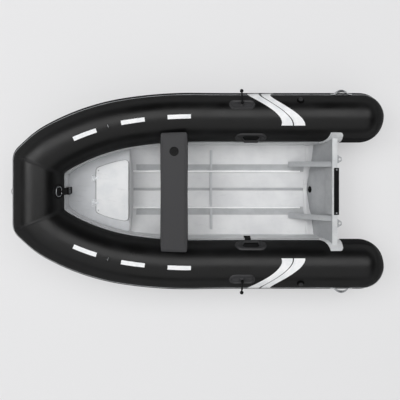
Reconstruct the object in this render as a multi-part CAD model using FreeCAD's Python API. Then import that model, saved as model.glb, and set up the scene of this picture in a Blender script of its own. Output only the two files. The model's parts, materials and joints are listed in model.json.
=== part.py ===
import FreeCAD, Part

import bisect
import math
import os

from FreeCAD import Vector

# Rigid inflatable boat: an aluminium V hull inside a horseshoe of air tubes.
# Frame: +X forward, +Y to port, +Z up.  X = 0 lies at mid length, Y = 0 on the
# centreline and Z = 0 on the light waterline.  Millimetres and degrees.

# ---- air tubes -----------------------------------------------------------------
TUBE_RADIUS = 196.0
TUBE_Y = 600.0                 # centreline of a straight side tube
TUBE_Z = 205.0                 # height of that centreline above the waterline
STERN_DOME_X = -1297.0         # centre of the round stern ends
SHEER_START_X = -268.0         # the tubes begin to rise here
SHEER_RADIUS = 3442.0
SHEER_ANGLE = 5.0
BOW_BENDS = [                  # the tube turns inboard in three easy bends
    {"radius": 3265.0, "angle": 9.9},
    {"radius": 1660.0, "angle": 19.9},
    {"radius": 560.0, "angle": 14.0},
]
BOW_STUB = 67.0                # straight run before the bow mitre
MITRE_OVERRUN = 130.0          # material past the mitre plane, cut away
SKIN_GAP = 0.3                 # what lies on a tube clears it by this much

# ---- strips that follow the tubes -------------------------------------------------
STRAKE_HALF_HEIGHT = 20.0
STRAKE_DEPTH = 7.0
STRAKE_BEVEL = 3.0
STRAKE_INNER_END_X = -1146.0   # the strake turns round the dome and stops here
RAIL_WIDTH = 11.0
RAIL_AFT_X = -974.0            # just forward of the transom saddles
RAIL_HALF_HEIGHT = 5.5
CRADLE_THICKNESS = 4.0
CRADLE_FROM = -78.0            # angles below the inboard direction
CRADLE_TO = -42.0
CRADLE_AFT_X = -1096.0

# ---- welded hull --------------------------------------------------------------------
PLATE = 4.0
KEEL_Z = -86.0
KEEL_HALF_WIDTH = 13.0
KEEL_DEPTH = 12.0
KEEL_GROOVE = 3.0
DEADRISE_INNER = 0.233         # rise per unit of half breadth, keel to first knuckle
KNUCKLES = [                   # half breadth and rise above the keel
    {"y": 146.0, "rise": 34.0},
    {"y": 170.0, "rise": 40.0},
    {"y": 220.0, "rise": 72.0},
]
WALL_HEAD = {"inboard": TUBE_RADIUS + 5.5, "up": -7.0}    # from the tube centreline
WALL_FOOT_UP = 13.0 - TUBE_RADIUS
WALL_FOOT_INBOARD = {"aft": TUBE_RADIUS + 21.0, "fore": TUBE_RADIUS + 7.0,
                     "from_x": 0.0, "to_x": 560.0}
WALL_FOOT_TRIM = 15.0          # extra depth, cut off along the floor
WALL_OVERRUN = 95.0            # extra length, cut off at the mitre
BOW_WALL_FOOT_INBOARD = TUBE_RADIUS + 4.0
BOW_WALL_BELOW_DECK = 15.0
CHINE = {"clear": 8.8, "angle": -52.0}          # from the tube's skin
STEM_START_X = 600.0           # the keel begins to rise here
STEM_END_CLEAR = 4.0
STEM_POWER = 2.2
STATIONS_X = [-1200.0, -268.0, -110.0, 0.0, 54.0, 200.0, 350.0, 480.0, 560.0, 600.0,
              660.0, 720.0, 790.0, 860.0, 920.0, 965.0, 1005.0, 1045.0]
STEM_STEPS = 3

# ---- transom --------------------------------------------------------------------------
TRANSOM_FOOT_X = -940.0        # inner face at TRANSOM_FOOT_Z
TRANSOM_FOOT_Z = -80.0
TRANSOM_TOP_Z = 306.0
TRANSOM_RAKE = 17.0
TRANSOM_THICKNESS = 40.0
TRANSOM_EDGE_GAP = 0.3
TRANSOM_LOW_ANGLE = -50.0      # where its edge leaves the tube for the chine
CAP_OVERHANG = 3.0
CAP_THICKNESS = 5.0
PAD_HALF_WIDTH = 189.0
PAD_THICKNESS = 12.0
PAD_DROP = 150.0
PAD_SETBACK = 9.0
CLAMP_HEIGHT = 92.0
CLAMP_THICKNESS = 6.0
SADDLE_THICKNESS = 4.0
SADDLE_FROM = -36.0
SADDLE_TO = 48.5
SADDLE_FORE_X = -975.0
SADDLE_AFT_X = -1142.0
SADDLE_TOP_FORE_X = -1035.0
SADDLE_TOP_AFT_X = -1122.0
KNEE_Y = 220.0
KNEE_FLANGE = 44.0
KNEE_PLATE = 5.0
KNEE_TOP_Z = 288.0
KNEE_FOOT_X = -762.0
KNEE_TOE_HEIGHT = 14.0
EYE_Y = 259.0
EYE_Z = 272.0
EYE_THICKNESS = 8.0
EYE_REACH = 50.0
EYE_HALF_BASE = 44.0
EYE_HOLE_RADIUS = 10.0
PLUG_RADIUS = 29.0
PLUG_Z = -30.0
PLUG_THICKNESS = 6.0

# ---- floor ------------------------------------------------------------------------------
STRINGER_INNER_Y = 150.0
STRINGER_WIDTH = 17.0
STRINGER_TOP = 16.0
STRINGER_AFT_X = -868.0
STRINGER_FORE_X = 588.0
FRAME_X = -91.0
FRAME_WIDTH = 22.0
FRAME_HEIGHT = 9.0
FRAME_REACH_Y = 340.0
FOOT_ANGLE_FORE_X = -905.0
FOOT_ANGLE_AFT_X = -937.0

# ---- bow deck and locker -------------------------------------------------------------------
DECK_TOP_Z = 135.0
DECK_AFT_X = 598.0
DECK_FRONT_CLEAR = 2.0
DECK_EDGE_CLEAR = 1.2
BULKHEAD_X = 592.0
LID_AFT_X = 602.0
LID_FORE_X = 873.0
LID_HALF_AFT = 259.0
LID_HALF_FORE = 184.0
LID_BOW = 12.0                 # the lid's sides bulge by this much
LID_THICKNESS = 12.0
LID_CORNER = 30.0
LID_REST_GAP = 0.3
HATCH_LEDGE = 18.0             # deck left under the lid's rim
HINGE_SETBACK = 8.0
HINGE_RADIUS = 5.5
HINGE_PIN_RADIUS = 2.0
HINGE_PIN_CLEAR = 0.3
HINGE_Y = 105.0
HINGE_HALF_LENGTH = 30.0
HINGE_MOVING_HALF = 10.0
HINGE_SIDE_CLEAR = 0.8
HINGE_LEAF = 2.5
HINGE_LEAF_REACH = 25.0

# ---- bench seat -----------------------------------------------------------------------------
SEAT_CENTRE_X = 208.0
SEAT_WIDTH = 218.0
SEAT_HALF_LENGTH_FORE = 462.0
SEAT_HALF_LENGTH_AFT = 470.0
SEAT_BOTTOM_Z = 342.0
SEAT_THICKNESS = 85.0
SEAT_CORNER = 22.0
SEAT_VALVE = {"x": 206.0, "y": -318.0, "radius": 36.0, "height": 5.0}

# ---- tube fittings ----------------------------------------------------------------------------
OARLOCK_X = -327.0
OARLOCK_ANGLE = 116.7          # round the tube, from inboard over the top
OARLOCK_LENGTH = 204.0
OARLOCK_WIDTH = 88.0
OARLOCK_THICKNESS = 7.0
OARLOCK_BOSS_RADIUS = 17.0
OARLOCK_BOSS_HEIGHT = 16.0
OARLOCK_COLLAR_RADIUS = 12.0
OARLOCK_COLLAR_HEIGHT = 15.0
OARLOCK_PIN_RADIUS = 7.0
OARLOCK_PIN_REACH = 118.0
OARLOCK_PIN_TILT = -32.0       # from the horizontal, so the pin lies along the tube
OARLOCK_KNOB_RADIUS = 15.0
HANDLE_X = -403.0
HANDLE_ANGLE = 30.0
HANDLE_LENGTH = 254.0
HANDLE_WIDTH = 112.0
HANDLE_THICKNESS = 7.0
HANDLE_GRIP_LENGTH = 150.0
HANDLE_GRIP_TOP = 116.0
HANDLE_GRIP_RISE = 38.0
HANDLE_GRIP_THICKNESS = 9.0
HANDLE_GRIP_WIDTH = 26.0
GRAB_X = -1134.0
GRAB_ANGLE = 156.0
GRAB_HALF_LENGTH = 86.0
GRAB_RISE = 32.0
GRAB_THICKNESS = 5.0
GRAB_WIDTH = 24.0
GRAB_FOOT_LENGTH = 26.0
VALVE_X = -791.0
VALVE_ANGLE = 128.5
VALVE_RADIUS = 29.0
VALVE_HEIGHT = 22.0
CLIP_X = -388.0
CLIP_LENGTH = 53.0
CLIP_TOP_Z = 168.0
CLIP_BOTTOM_Z = 112.0
CLIP_DEPTH = 16.0

# ---- bow fittings -----------------------------------------------------------------------------
PATCH_THICKNESS = 4.0
RING_WIRE = 5.0
TOW_RING = {"y": 0.0, "angle": 198.0, "lean": 0.0, "half": 23.5, "corner": 20.0,
            "patch": 45.0, "patch_angle": 200.5, "loop": 16.0}
D_RING = {"y": -5.0, "angle": 21.5, "lean": -90.0, "half": 36.5, "corner": 26.0,
          "patch": 58.0, "patch_angle": 30.0, "loop": 18.0}
RING_LOOP_HEIGHT = 8.0
STRAP_OFFSET_Y = 3.0
STRAP_HALF_WIDTH = 28.0
STRAP_THICKNESS = 3.0
STRAP_FROM = 18.6
STRAP_LEAVES = 16.0            # from here the strap runs straight, clear of the rail
BUCKLE_HEIGHT = 68.0
BUCKLE_BELOW_RAIL = 6.0
BUCKLE_HALF_WIDTH = 31.0
BUCKLE_THICKNESS = 12.0

X_AXIS = Vector(1, 0, 0)
Y_AXIS = Vector(0, 1, 0)
Z_AXIS = Vector(0, 0, 1)
FAR = 700.0                    # longer than any cut it has to make


# ---- the port tube's path -------------------------------------------------------------------
class Frame:
    """A point on the tube's centreline with its forward, inboard and up directions."""

    def __init__(self, origin, forward, inboard):
        self.origin = origin
        self.forward = forward
        self.inboard = inboard
        self.up = inboard.cross(forward)

    def at(self, inboard, up):
        return self.origin + self.inboard * inboard + self.up * up

    def polar(self, radius, angle):
        turn = math.radians(angle)
        return self.at(radius * math.cos(turn), radius * math.sin(turn))


class Run:
    """A straight run or a bend of the tube, from its start frame."""

    def __init__(self, start, length=0.0, radius=0.0, angle=0.0, toward="inboard"):
        self.start = start
        self.length = length
        self.angle = angle
        side = start.inboard if toward == "inboard" else start.up
        self.centre = start.origin + side * radius
        self.axis = start.forward.cross(side)

    def frame(self, share):
        start = self.start
        if not self.angle:
            return Frame(start.origin + start.forward * (self.length * share),
                         start.forward, start.inboard)
        turn = FreeCAD.Rotation(self.axis, self.angle * share)
        origin = self.centre + turn.multVec(start.origin - self.centre)
        return Frame(origin, turn.multVec(start.forward), turn.multVec(start.inboard))

    def sweep(self, face):
        if not self.angle:
            return face.extrude(self.start.forward * self.length)
        return face.revolve(self.centre, self.axis, self.angle)


def port_runs():
    start = Frame(Vector(STERN_DOME_X, TUBE_Y, TUBE_Z), X_AXIS, -Y_AXIS)
    runs = [Run(start, length=SHEER_START_X - STERN_DOME_X)]
    runs.append(Run(runs[-1].frame(1), radius=SHEER_RADIUS, angle=SHEER_ANGLE, toward="up"))
    for bend in BOW_BENDS:
        runs.append(Run(runs[-1].frame(1), radius=bend["radius"], angle=bend["angle"]))
    runs.append(Run(runs[-1].frame(1), length=BOW_STUB + MITRE_OVERRUN))
    return runs


RUNS = port_runs()
STUB_SHARE = BOW_STUB / (BOW_STUB + MITRE_OVERRUN)
MITRE = RUNS[-1].frame(STUB_SHARE)
MITRE_NORMAL = (MITRE.forward - Y_AXIS).normalize()
BOW_FRAME = Frame(MITRE.origin + Y_AXIS * MITRE_OVERRUN, -Y_AXIS, MITRE.up.cross(Y_AXIS))
BOW_LENGTH = 2.0 * (MITRE.origin.y + MITRE_OVERRUN)
BOW_CENTRE = Frame(Vector(MITRE.origin.x, 0, MITRE.origin.z), -Y_AXIS, BOW_FRAME.inboard)
CHINE_TURN = math.radians(CHINE["angle"])
CHINE_INBOARD = (TUBE_RADIUS + CHINE["clear"]) * math.cos(CHINE_TURN)
CHINE_UP = (TUBE_RADIUS + CHINE["clear"]) * math.sin(CHINE_TURN)


def mirrored(shape):
    return shape.mirror(Vector(0, 0, 0), Y_AXIS)


def mitre_block(side):
    return Part.makeCylinder(FAR, FAR, MITRE.origin, MITRE_NORMAL * side)


def fused(shapes):
    return shapes[0].fuse(shapes[1:]).removeSplitter()


def along_port(section):
    """The section carried along the whole port tube and cut at the bow mitre."""
    pieces = [run.sweep(section(run.start)) for run in RUNS]
    return fused(pieces).cut(mitre_block(1))


def across_bow(section):
    piece = section(BOW_FRAME).extrude(-Y_AXIS * BOW_LENGTH)
    block = mitre_block(-1)
    return piece.cut(block).cut(mirrored(block))


def face_of(points):
    return Part.Face(Part.makePolygon(points + [points[0]]))


def ring_sector(frame, inner, outer, start, end):
    middle = (start + end) / 2.0
    far = Part.Arc(*[frame.polar(outer, a) for a in (start, middle, end)]).toShape()
    near = Part.Arc(*[frame.polar(inner, a) for a in (end, middle, start)]).toShape()
    side_a = Part.makeLine(frame.polar(outer, end), frame.polar(inner, end))
    side_b = Part.makeLine(frame.polar(inner, start), frame.polar(outer, start))
    return Part.Face(Part.Wire([far, side_a, near, side_b]))


def on_path(x, inboard, up):
    """Half breadth and height of a line beside the port tube, where it crosses X = x."""
    for run in RUNS:
        if run.frame(1).at(inboard, up).x >= x:
            break
    low, high = 0.0, 1.0
    for _ in range(40):
        middle = (low + high) / 2.0
        if run.frame(middle).at(inboard, up).x < x:
            low = middle
        else:
            high = middle
    point = run.frame(low).at(inboard, up)
    return point.y, point.z


# ---- tubes and the strips on them ---------------------------------------------------------
def tube_section(frame):
    circle = Part.makeCircle(TUBE_RADIUS, frame.origin, frame.forward)
    return Part.Face(Part.Wire([circle]))


def port_tube():
    dome = Part.makeSphere(TUBE_RADIUS, RUNS[0].start.origin)
    aft_half = Part.makeCylinder(FAR, FAR, RUNS[0].start.origin, -X_AXIS)
    return fused([along_port(tube_section), dome.common(aft_half)])


def strake_section(frame):
    near = -(TUBE_RADIUS + SKIN_GAP)
    far = near - STRAKE_DEPTH
    outline = [
        (near, -STRAKE_HALF_HEIGHT),
        (far + STRAKE_BEVEL, -STRAKE_HALF_HEIGHT),
        (far, -STRAKE_HALF_HEIGHT + 2 * STRAKE_BEVEL),
        (far, STRAKE_HALF_HEIGHT - 2 * STRAKE_BEVEL),
        (far + STRAKE_BEVEL, STRAKE_HALF_HEIGHT),
        (near, STRAKE_HALF_HEIGHT),
    ]
    return face_of([frame.at(a, b) for a, b in outline])


def rub_strake():
    start = RUNS[0].start
    around = strake_section(start).revolve(start.origin, Z_AXIS, 180)
    tail_face = strake_section(Frame(start.origin, -X_AXIS, Y_AXIS))
    tail = tail_face.extrude(X_AXIS * (STRAKE_INNER_END_X - STERN_DOME_X))
    side = fused([along_port(strake_section), around, tail])
    return fused([side, across_bow(strake_section), mirrored(side)])


def rail_section(frame):
    near = TUBE_RADIUS + SKIN_GAP
    far = near + RAIL_WIDTH
    bevel = RAIL_HALF_HEIGHT / 2.0
    outline = [
        (near, -RAIL_HALF_HEIGHT),
        (far, -RAIL_HALF_HEIGHT),
        (far, RAIL_HALF_HEIGHT - bevel),
        (far - bevel, RAIL_HALF_HEIGHT),
        (near, RAIL_HALF_HEIGHT),
    ]
    return face_of([frame.at(a, b) for a, b in outline])


def cradle_section(frame):
    inner = TUBE_RADIUS + SKIN_GAP
    return ring_sector(frame, inner, inner + CRADLE_THICKNESS, CRADLE_FROM, CRADLE_TO)


def bow_wall_foot():
    """The bow wall's foot beside the bow tube, a little below the deck."""
    inboard = BOW_WALL_FOOT_INBOARD
    level = BOW_CENTRE.at(inboard, 0)
    drop = (DECK_TOP_Z - BOW_WALL_BELOW_DECK - level.z) / BOW_CENTRE.up.z
    return inboard, drop


def bow_wall_section(frame):
    inboard, up = bow_wall_foot()
    head = WALL_HEAD
    return face_of([
        frame.at(inboard, up),
        frame.at(inboard - PLATE, up),
        frame.at(head["inboard"], head["up"]),
        frame.at(head["inboard"] + PLATE, head["up"]),
    ])


def aft_of(x):
    return Part.makeBox(FAR, 2 * FAR, 2 * FAR, Vector(x - FAR, -FAR, -FAR))


# ---- bottom plating ---------------------------------------------------------------------------
def stem_end_x():
    return BOW_CENTRE.at(CHINE_INBOARD, CHINE_UP).x


def corner_x(inboard, up):
    """Where a line beside the tube reaches the bow mitre."""
    run = RUNS[-1]
    low, high = 0.0, 1.0
    for _ in range(40):
        middle = (low + high) / 2.0
        offset = run.frame(middle).at(inboard, up) - MITRE.origin
        if offset.dot(MITRE_NORMAL) < 0:
            low = middle
        else:
            high = middle
    return run.frame(low).at(inboard, up).x


def foot_inboard(x):
    """How far the wall's foot lies inboard of the tube's centreline at X = x."""
    foot = WALL_FOOT_INBOARD
    share = (x - foot["from_x"]) / (foot["to_x"] - foot["from_x"])
    return foot["aft"] + (foot["fore"] - foot["aft"]) * min(1.0, max(0.0, share))


def wall_foot(x):
    return on_path(x, foot_inboard(x), WALL_FOOT_UP)


def keel_z(x):
    run = max(0.0, x - STEM_START_X) / (stem_end_x() - STEM_START_X)
    top = BOW_CENTRE.at(CHINE_INBOARD, CHINE_UP).z - STEM_END_CLEAR
    return KEEL_Z + (top - KEEL_Z) * run ** STEM_POWER


def station(x):
    """Outer corners of the port bottom plate at X = x, from the keel to the chine."""
    base = keel_z(x)
    chine_y, chine_z = on_path(min(x, corner_x(CHINE_INBOARD, CHINE_UP)),
                               CHINE_INBOARD, CHINE_UP)
    corner = corner_x(WALL_FOOT_INBOARD["fore"], WALL_FOOT_UP)
    foot_y, foot_z = wall_foot(min(x, corner))
    if x > corner:
        share = (x - corner) / (stem_end_x() - corner)
        foot_z += (chine_z - foot_z) * share
    full_y, full_z = wall_foot(STEM_START_X)
    narrow = 1.0 if x <= STEM_START_X else foot_y / full_y
    squat = 1.0 if x <= STEM_START_X else (foot_z - base) / (full_z - KEEL_Z)
    corners = [(KEEL_HALF_WIDTH, base + DEADRISE_INNER * KEEL_HALF_WIDTH * squat)]
    for knuckle in KNUCKLES:
        corners.append((knuckle["y"] * narrow, base + knuckle["rise"] * squat))
    corners.append((foot_y, foot_z))
    corners.append((chine_y, chine_z))
    return corners


def station_xs():
    last = STATIONS_X[-1]
    step = (stem_end_x() - 1.0 - last) / STEM_STEPS
    return STATIONS_X + [last + step * (i + 1) for i in range(STEM_STEPS)]


def bottom_plate():
    wires = []
    for x in station_xs():
        outer = [Vector(x, y, z) for y, z in station(x)]
        inner = [point + Z_AXIS * PLATE for point in reversed(outer)]
        wires.append(Part.makePolygon(outer + inner + [outer[0]]))
    return Part.makeLoft(wires, True, True).cut(behind_transom_face())


def keel_profile():
    wires = []
    half = KEEL_HALF_WIDTH - SKIN_GAP
    for x in station_xs():
        base = keel_z(x)
        outline = [
            Vector(x, -half, base + KEEL_GROOVE),
            Vector(x, -half / 2, base - KEEL_DEPTH),
            Vector(x, half / 2, base - KEEL_DEPTH),
            Vector(x, half, base + KEEL_GROOVE),
        ]
        wires.append(Part.makePolygon(outline + [outline[0]]))
    return Part.makeLoft(wires, True, True).cut(behind_transom_face())


def wall_xs():
    """Stations of the side wall: those of the bottom, then straight past the mitre."""
    return STATIONS_X + [STATIONS_X[-1] + WALL_OVERRUN]


def wall_line(x):
    """Foot and head of the port wall's inner face at X = x."""
    head = on_path(x, WALL_HEAD["inboard"] + PLATE, WALL_HEAD["up"])
    return [wall_foot(x), head]


def side_wall():
    wires = []
    for x in wall_xs():
        (foot_y, foot_z), (head_y, head_z) = wall_line(x)
        low = foot_z - WALL_FOOT_TRIM
        outline = [
            Vector(x, foot_y, low),
            Vector(x, foot_y + PLATE, low),
            Vector(x, foot_y + PLATE, foot_z),
            Vector(x, head_y + PLATE, head_z),
            Vector(x, head_y, head_z),
            Vector(x, foot_y, foot_z),
        ]
        wires.append(Part.makePolygon(outline + [outline[0]]))
    wall = Part.makeLoft(wires, True, True)
    return wall.cut(mitre_block(1)).cut(behind_transom_face()).cut(below_floor()[0])


def below_floor():
    """The block of space under the floor's upper side, to trim what stands on it."""
    wires = []
    for x in station_xs():
        top = [Vector(x, y, z + PLATE + SKIN_GAP) for y, z in station(x)]
        top.insert(0, Vector(x, 0, top[0].z - DEADRISE_INNER * KEEL_HALF_WIDTH))
        outer = Vector(x, top[-1].y, -FAR)
        wires.append(Part.makePolygon(top + [outer, Vector(x, 0, -FAR), top[0]]))
    half = Part.makeLoft(wires, True, True)
    return half, mirrored(half)


def between(xs, shape_at, x):
    """Corners at any X of a plate lofted straight between the stations xs."""
    place = min(max(bisect.bisect(xs, x), 1), len(xs) - 1)
    before, after = xs[place - 1], xs[place]
    share = (x - before) / (after - before)
    pairs = zip(shape_at(before), shape_at(after))
    return [(a[0] + (b[0] - a[0]) * share, a[1] + (b[1] - a[1]) * share) for a, b in pairs]


def floor_top(x, y):
    """Height of the bottom plate's upper side at a place on the floor."""
    corners = between(station_xs(), station, x)
    ys = [corner[0] for corner in corners]
    place = min(max(bisect.bisect(ys, abs(y)), 1), len(corners) - 1)
    (y0, z0), (y1, z1) = corners[place - 1], corners[place]
    return z0 + (z1 - z0) * (abs(y) - y0) / (y1 - y0) + PLATE


def floor_outline(x, from_y, to_y):
    """The floor's upper side as (y, z) corners between two half breadths."""
    ys = [from_y] + [k["y"] for k in KNUCKLES if from_y < k["y"] < to_y] + [to_y]
    return [(y, floor_top(x, y)) for y in ys]


# ---- transom ------------------------------------------------------------------------------------
def transom_x(z):
    """X of the transom's inner face at height z."""
    return TRANSOM_FOOT_X - (z - TRANSOM_FOOT_Z) * math.tan(math.radians(TRANSOM_RAKE))


RAKE = math.radians(TRANSOM_RAKE)
AFTWARD = Vector(-math.cos(RAKE), 0, -math.sin(RAKE))      # square to the transom
CLIMB = Vector(-math.sin(RAKE), 0, math.cos(RAKE))         # up the transom


def transom_point(climb, aft, y):
    """A place given by its climb from the foot, its depth aft of the inner face and y."""
    base = Vector(TRANSOM_FOOT_X, y, TRANSOM_FOOT_Z)
    return base + CLIMB * climb + AFTWARD * aft


TRANSOM_CLIMB = (TRANSOM_TOP_Z - TRANSOM_FOOT_Z) / math.cos(RAKE)


def transom_slab(low, high, near, far, half):
    face = face_of([
        transom_point(low, near, -half),
        transom_point(high, near, -half),
        transom_point(high, far, -half),
        transom_point(low, far, -half),
    ])
    return face.extrude(Y_AXIS * (2 * half))


def behind_transom_face():
    return transom_slab(-FAR, 2 * FAR, -TRANSOM_EDGE_GAP, FAR, FAR)


def transom_outline_face(radius):
    """Section of the boat between the tubes, across the centreline."""
    x = TRANSOM_FOOT_X + TRANSOM_THICKNESS * 2
    start = RUNS[0].start
    left = Frame(Vector(x, TUBE_Y, TUBE_Z), start.forward, start.inboard)
    corners = station(x)
    bottom = [Vector(x, y, z) for y, z in corners[:-1]]
    low_angle = TRANSOM_LOW_ANGLE
    high_angle = math.degrees(math.asin((TRANSOM_TOP_Z + CAP_THICKNESS - TUBE_Z) / radius))
    low = left.polar(radius, low_angle)
    top = left.polar(radius, high_angle)
    bulge = left.polar(radius, (low_angle + high_angle) / 2)
    roof = FAR / 2

    def flip(point):
        return Vector(point.x, -point.y, point.z)

    half = bottom + [low]
    right_half = [flip(point) for point in reversed(half)]
    edges = [Part.makePolygon(right_half + half)]
    edges.append(Part.Arc(low, bulge, top).toShape())
    above = [top, Vector(x, top.y, roof), Vector(x, -top.y, roof), flip(top)]
    edges.append(Part.makePolygon(above))
    edges.append(Part.Arc(flip(top), flip(bulge), flip(low)).toShape())
    parts = []
    for edge in edges:
        parts.extend(edge.Edges)
    return Part.Face(Part.Wire(Part.__sortEdges__(parts)))


def transom():
    radius = TUBE_RADIUS + SADDLE_THICKNESS + 2 * SKIN_GAP
    prism = transom_outline_face(radius).extrude(-X_AXIS * FAR)
    return prism.common(transom_slab(-FAR / 4, TRANSOM_CLIMB, 0, TRANSOM_THICKNESS, FAR))


def transom_cap():
    radius = TUBE_RADIUS + SADDLE_THICKNESS + 2 * SKIN_GAP
    prism = transom_outline_face(radius).extrude(-X_AXIS * FAR)
    top = TRANSOM_CLIMB
    slab = transom_slab(top, top + CAP_THICKNESS, -CAP_OVERHANG,
                        TRANSOM_THICKNESS + CAP_OVERHANG, FAR)
    lip = transom_slab(top - 3 * CAP_OVERHANG, top + CAP_THICKNESS,
                       TRANSOM_THICKNESS, TRANSOM_THICKNESS + CAP_OVERHANG, FAR)
    return fused([slab, lip]).common(prism)


def motor_pad():
    top = TRANSOM_CLIMB + CAP_THICKNESS
    aft = TRANSOM_THICKNESS + CAP_OVERHANG
    thick = PAD_THICKNESS
    over = transom_slab(top, top + thick / 2, PAD_SETBACK, aft + thick, PAD_HALF_WIDTH)
    back = transom_slab(top - PAD_DROP, top + thick / 2, aft, aft + thick, PAD_HALF_WIDTH)
    return fused([over, back])


def clamp_plate():
    top = TRANSOM_CLIMB - CAP_THICKNESS
    slab = transom_slab(top - CLAMP_HEIGHT, top, -CLAMP_THICKNESS, 0, PAD_HALF_WIDTH)
    corners = [edge for edge in slab.Edges
               if abs(edge.Length - CLAMP_THICKNESS) < PLATE / 10]
    return slab.makeFillet(CLAMP_THICKNESS * 2, corners)


def transom_saddle():
    inner = TUBE_RADIUS + SKIN_GAP
    start = RUNS[0].start
    frame = Frame(Vector(SADDLE_FORE_X, TUBE_Y, TUBE_Z), start.forward, start.inboard)
    sector = ring_sector(frame, inner, inner + SADDLE_THICKNESS, SADDLE_FROM, SADDLE_TO)
    sheet = sector.extrude(X_AXIS * (SADDLE_AFT_X - SADDLE_FORE_X))
    top = TUBE_Z + inner
    low = TUBE_Z + inner * math.sin(math.radians(SADDLE_FROM))
    shoulder = TUBE_Z + inner * math.sin(math.radians(SADDLE_TO / 2))
    y = TUBE_Y - FAR / 2
    fore_curve = Part.Arc(
        Vector(SADDLE_FORE_X, y, TUBE_Z),
        Vector((SADDLE_FORE_X + SADDLE_TOP_FORE_X) / 2 - SADDLE_THICKNESS * 3, y, shoulder),
        Vector(SADDLE_TOP_FORE_X, y, top)).toShape()
    aft_curve = Part.Arc(
        Vector(SADDLE_TOP_AFT_X, y, top),
        Vector(SADDLE_AFT_X + SADDLE_THICKNESS, y, shoulder + SADDLE_THICKNESS * 6),
        Vector(SADDLE_AFT_X, y, TUBE_Z)).toShape()
    rest = Part.makePolygon([
        Vector(SADDLE_AFT_X, y, TUBE_Z),
        Vector(SADDLE_AFT_X, y, low),
        Vector(SADDLE_FORE_X, y, low),
        Vector(SADDLE_FORE_X, y, TUBE_Z),
    ])
    roof = Part.makeLine(Vector(SADDLE_TOP_FORE_X, y, top), Vector(SADDLE_TOP_AFT_X, y, top))
    wire = Part.Wire([fore_curve, roof, aft_curve] + rest.Edges)
    return sheet.common(Part.Face(wire).extrude(Y_AXIS * FAR))


def transom_knee():
    floor_z = floor_top(KNEE_FOOT_X, KNEE_Y + KNEE_PLATE) + SKIN_GAP
    top_x = transom_x(KNEE_TOP_Z) + SKIN_GAP
    foot_x = transom_x(floor_z) + SKIN_GAP
    toe = Vector(KNEE_FOOT_X, 0, floor_z)
    heel_top = Vector(top_x, 0, KNEE_TOP_Z)
    slope = (heel_top - Vector(KNEE_FOOT_X, 0, floor_z + KNEE_TOE_HEIGHT)).normalize()
    lift = Vector(-slope.z, 0, slope.x) * -KNEE_PLATE
    toe_top = Vector(KNEE_FOOT_X, 0, floor_z + KNEE_TOE_HEIGHT)
    web = face_of([toe, toe_top, heel_top, Vector(foot_x, 0, floor_z)])
    web.translate(Y_AXIS * (KNEE_Y - KNEE_PLATE / 2))
    flange_head = Vector(transom_x(KNEE_TOP_Z + KNEE_PLATE) + SKIN_GAP, 0, KNEE_TOP_Z + KNEE_PLATE)
    flange = face_of([toe_top, heel_top, flange_head, toe_top + lift])
    flange.translate(Y_AXIS * (KNEE_Y - KNEE_FLANGE / 2))
    return fused([web.extrude(Y_AXIS * KNEE_PLATE), flange.extrude(Y_AXIS * KNEE_FLANGE)])


def lifting_eyes():
    back = transom_x(EYE_Z) - TRANSOM_THICKNESS / math.cos(RAKE) - SKIN_GAP
    tip = back - EYE_REACH
    nose = EYE_HOLE_RADIUS * 1.5
    hole_x = tip + nose
    outline = [
        Vector(back + TRANSOM_THICKNESS / 2, EYE_Y - EYE_HALF_BASE, EYE_Z),
        Vector(back + TRANSOM_THICKNESS / 2, EYE_Y + EYE_HALF_BASE, EYE_Z),
        Vector(back, EYE_Y + EYE_HALF_BASE, EYE_Z),
        Vector(tip, EYE_Y + nose, EYE_Z),
        Vector(tip, EYE_Y - nose, EYE_Z),
        Vector(back, EYE_Y - EYE_HALF_BASE, EYE_Z),
    ]
    plate = face_of(outline).extrude(Z_AXIS * EYE_THICKNESS)
    tip_edges = [edge for edge in plate.Edges
                 if abs(edge.Length - EYE_THICKNESS) < 0.1
                 and abs(edge.CenterOfMass.x - tip) < 0.1]
    plate = plate.makeFillet(nose * 0.8, tip_edges)
    plate = plate.cut(Part.makeCylinder(EYE_HOLE_RADIUS, FAR, Vector(hole_x, EYE_Y, 0)))
    face = transom_slab(-FAR, 2 * FAR, -FAR / 4, TRANSOM_THICKNESS, FAR)
    plate = plate.cut(face)
    return Part.makeCompound([plate, mirrored(plate)])


def drain_plug():
    climb = (PLUG_Z - TRANSOM_FOOT_Z) / math.cos(RAKE)
    seat = transom_point(climb, -SKIN_GAP, 0)
    flange = Part.makeCylinder(PLUG_RADIUS, PLUG_THICKNESS, seat, -AFTWARD)
    knob = Part.makeCylinder(PLUG_RADIUS * 0.55, PLUG_THICKNESS * 3, seat, -AFTWARD)
    return fused([flange, knob])


# ---- floor pieces --------------------------------------------------------------------------------
def floor_strip(from_x, to_x, from_y, to_y, height):
    """A flat strip across the floor, lying on its upper side from from_y to to_y."""
    wires = []
    for x in (from_x, to_x):
        if from_y < 0:
            side = floor_outline(x, KEEL_HALF_WIDTH, to_y)
            low = [(-y, z) for y, z in reversed(side)] + side
        else:
            low = floor_outline(x, from_y, to_y)
        lower = [Vector(x, y, z + SKIN_GAP) for y, z in low]
        upper = [point + Z_AXIS * height for point in reversed(lower)]
        wires.append(Part.makePolygon(lower + upper + [lower[0]]))
    return Part.makeLoft(wires, True, True)


def strips_across(from_x, to_x, inner, outer, edge, height):
    """One strip between the inner lines and one outside each, out to the edge."""
    middle = floor_strip(from_x, to_x, -inner, inner, height)
    side = floor_strip(from_x, to_x, outer, edge, height)
    return Part.makeCompound([middle, side, mirrored(side)])


def floor_frame():
    inner = STRINGER_INNER_Y - SKIN_GAP
    outer = STRINGER_INNER_Y + STRINGER_WIDTH + SKIN_GAP
    return strips_across(FRAME_X - FRAME_WIDTH / 2, FRAME_X + FRAME_WIDTH / 2,
                         inner, outer, FRAME_REACH_Y, FRAME_HEIGHT)


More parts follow.
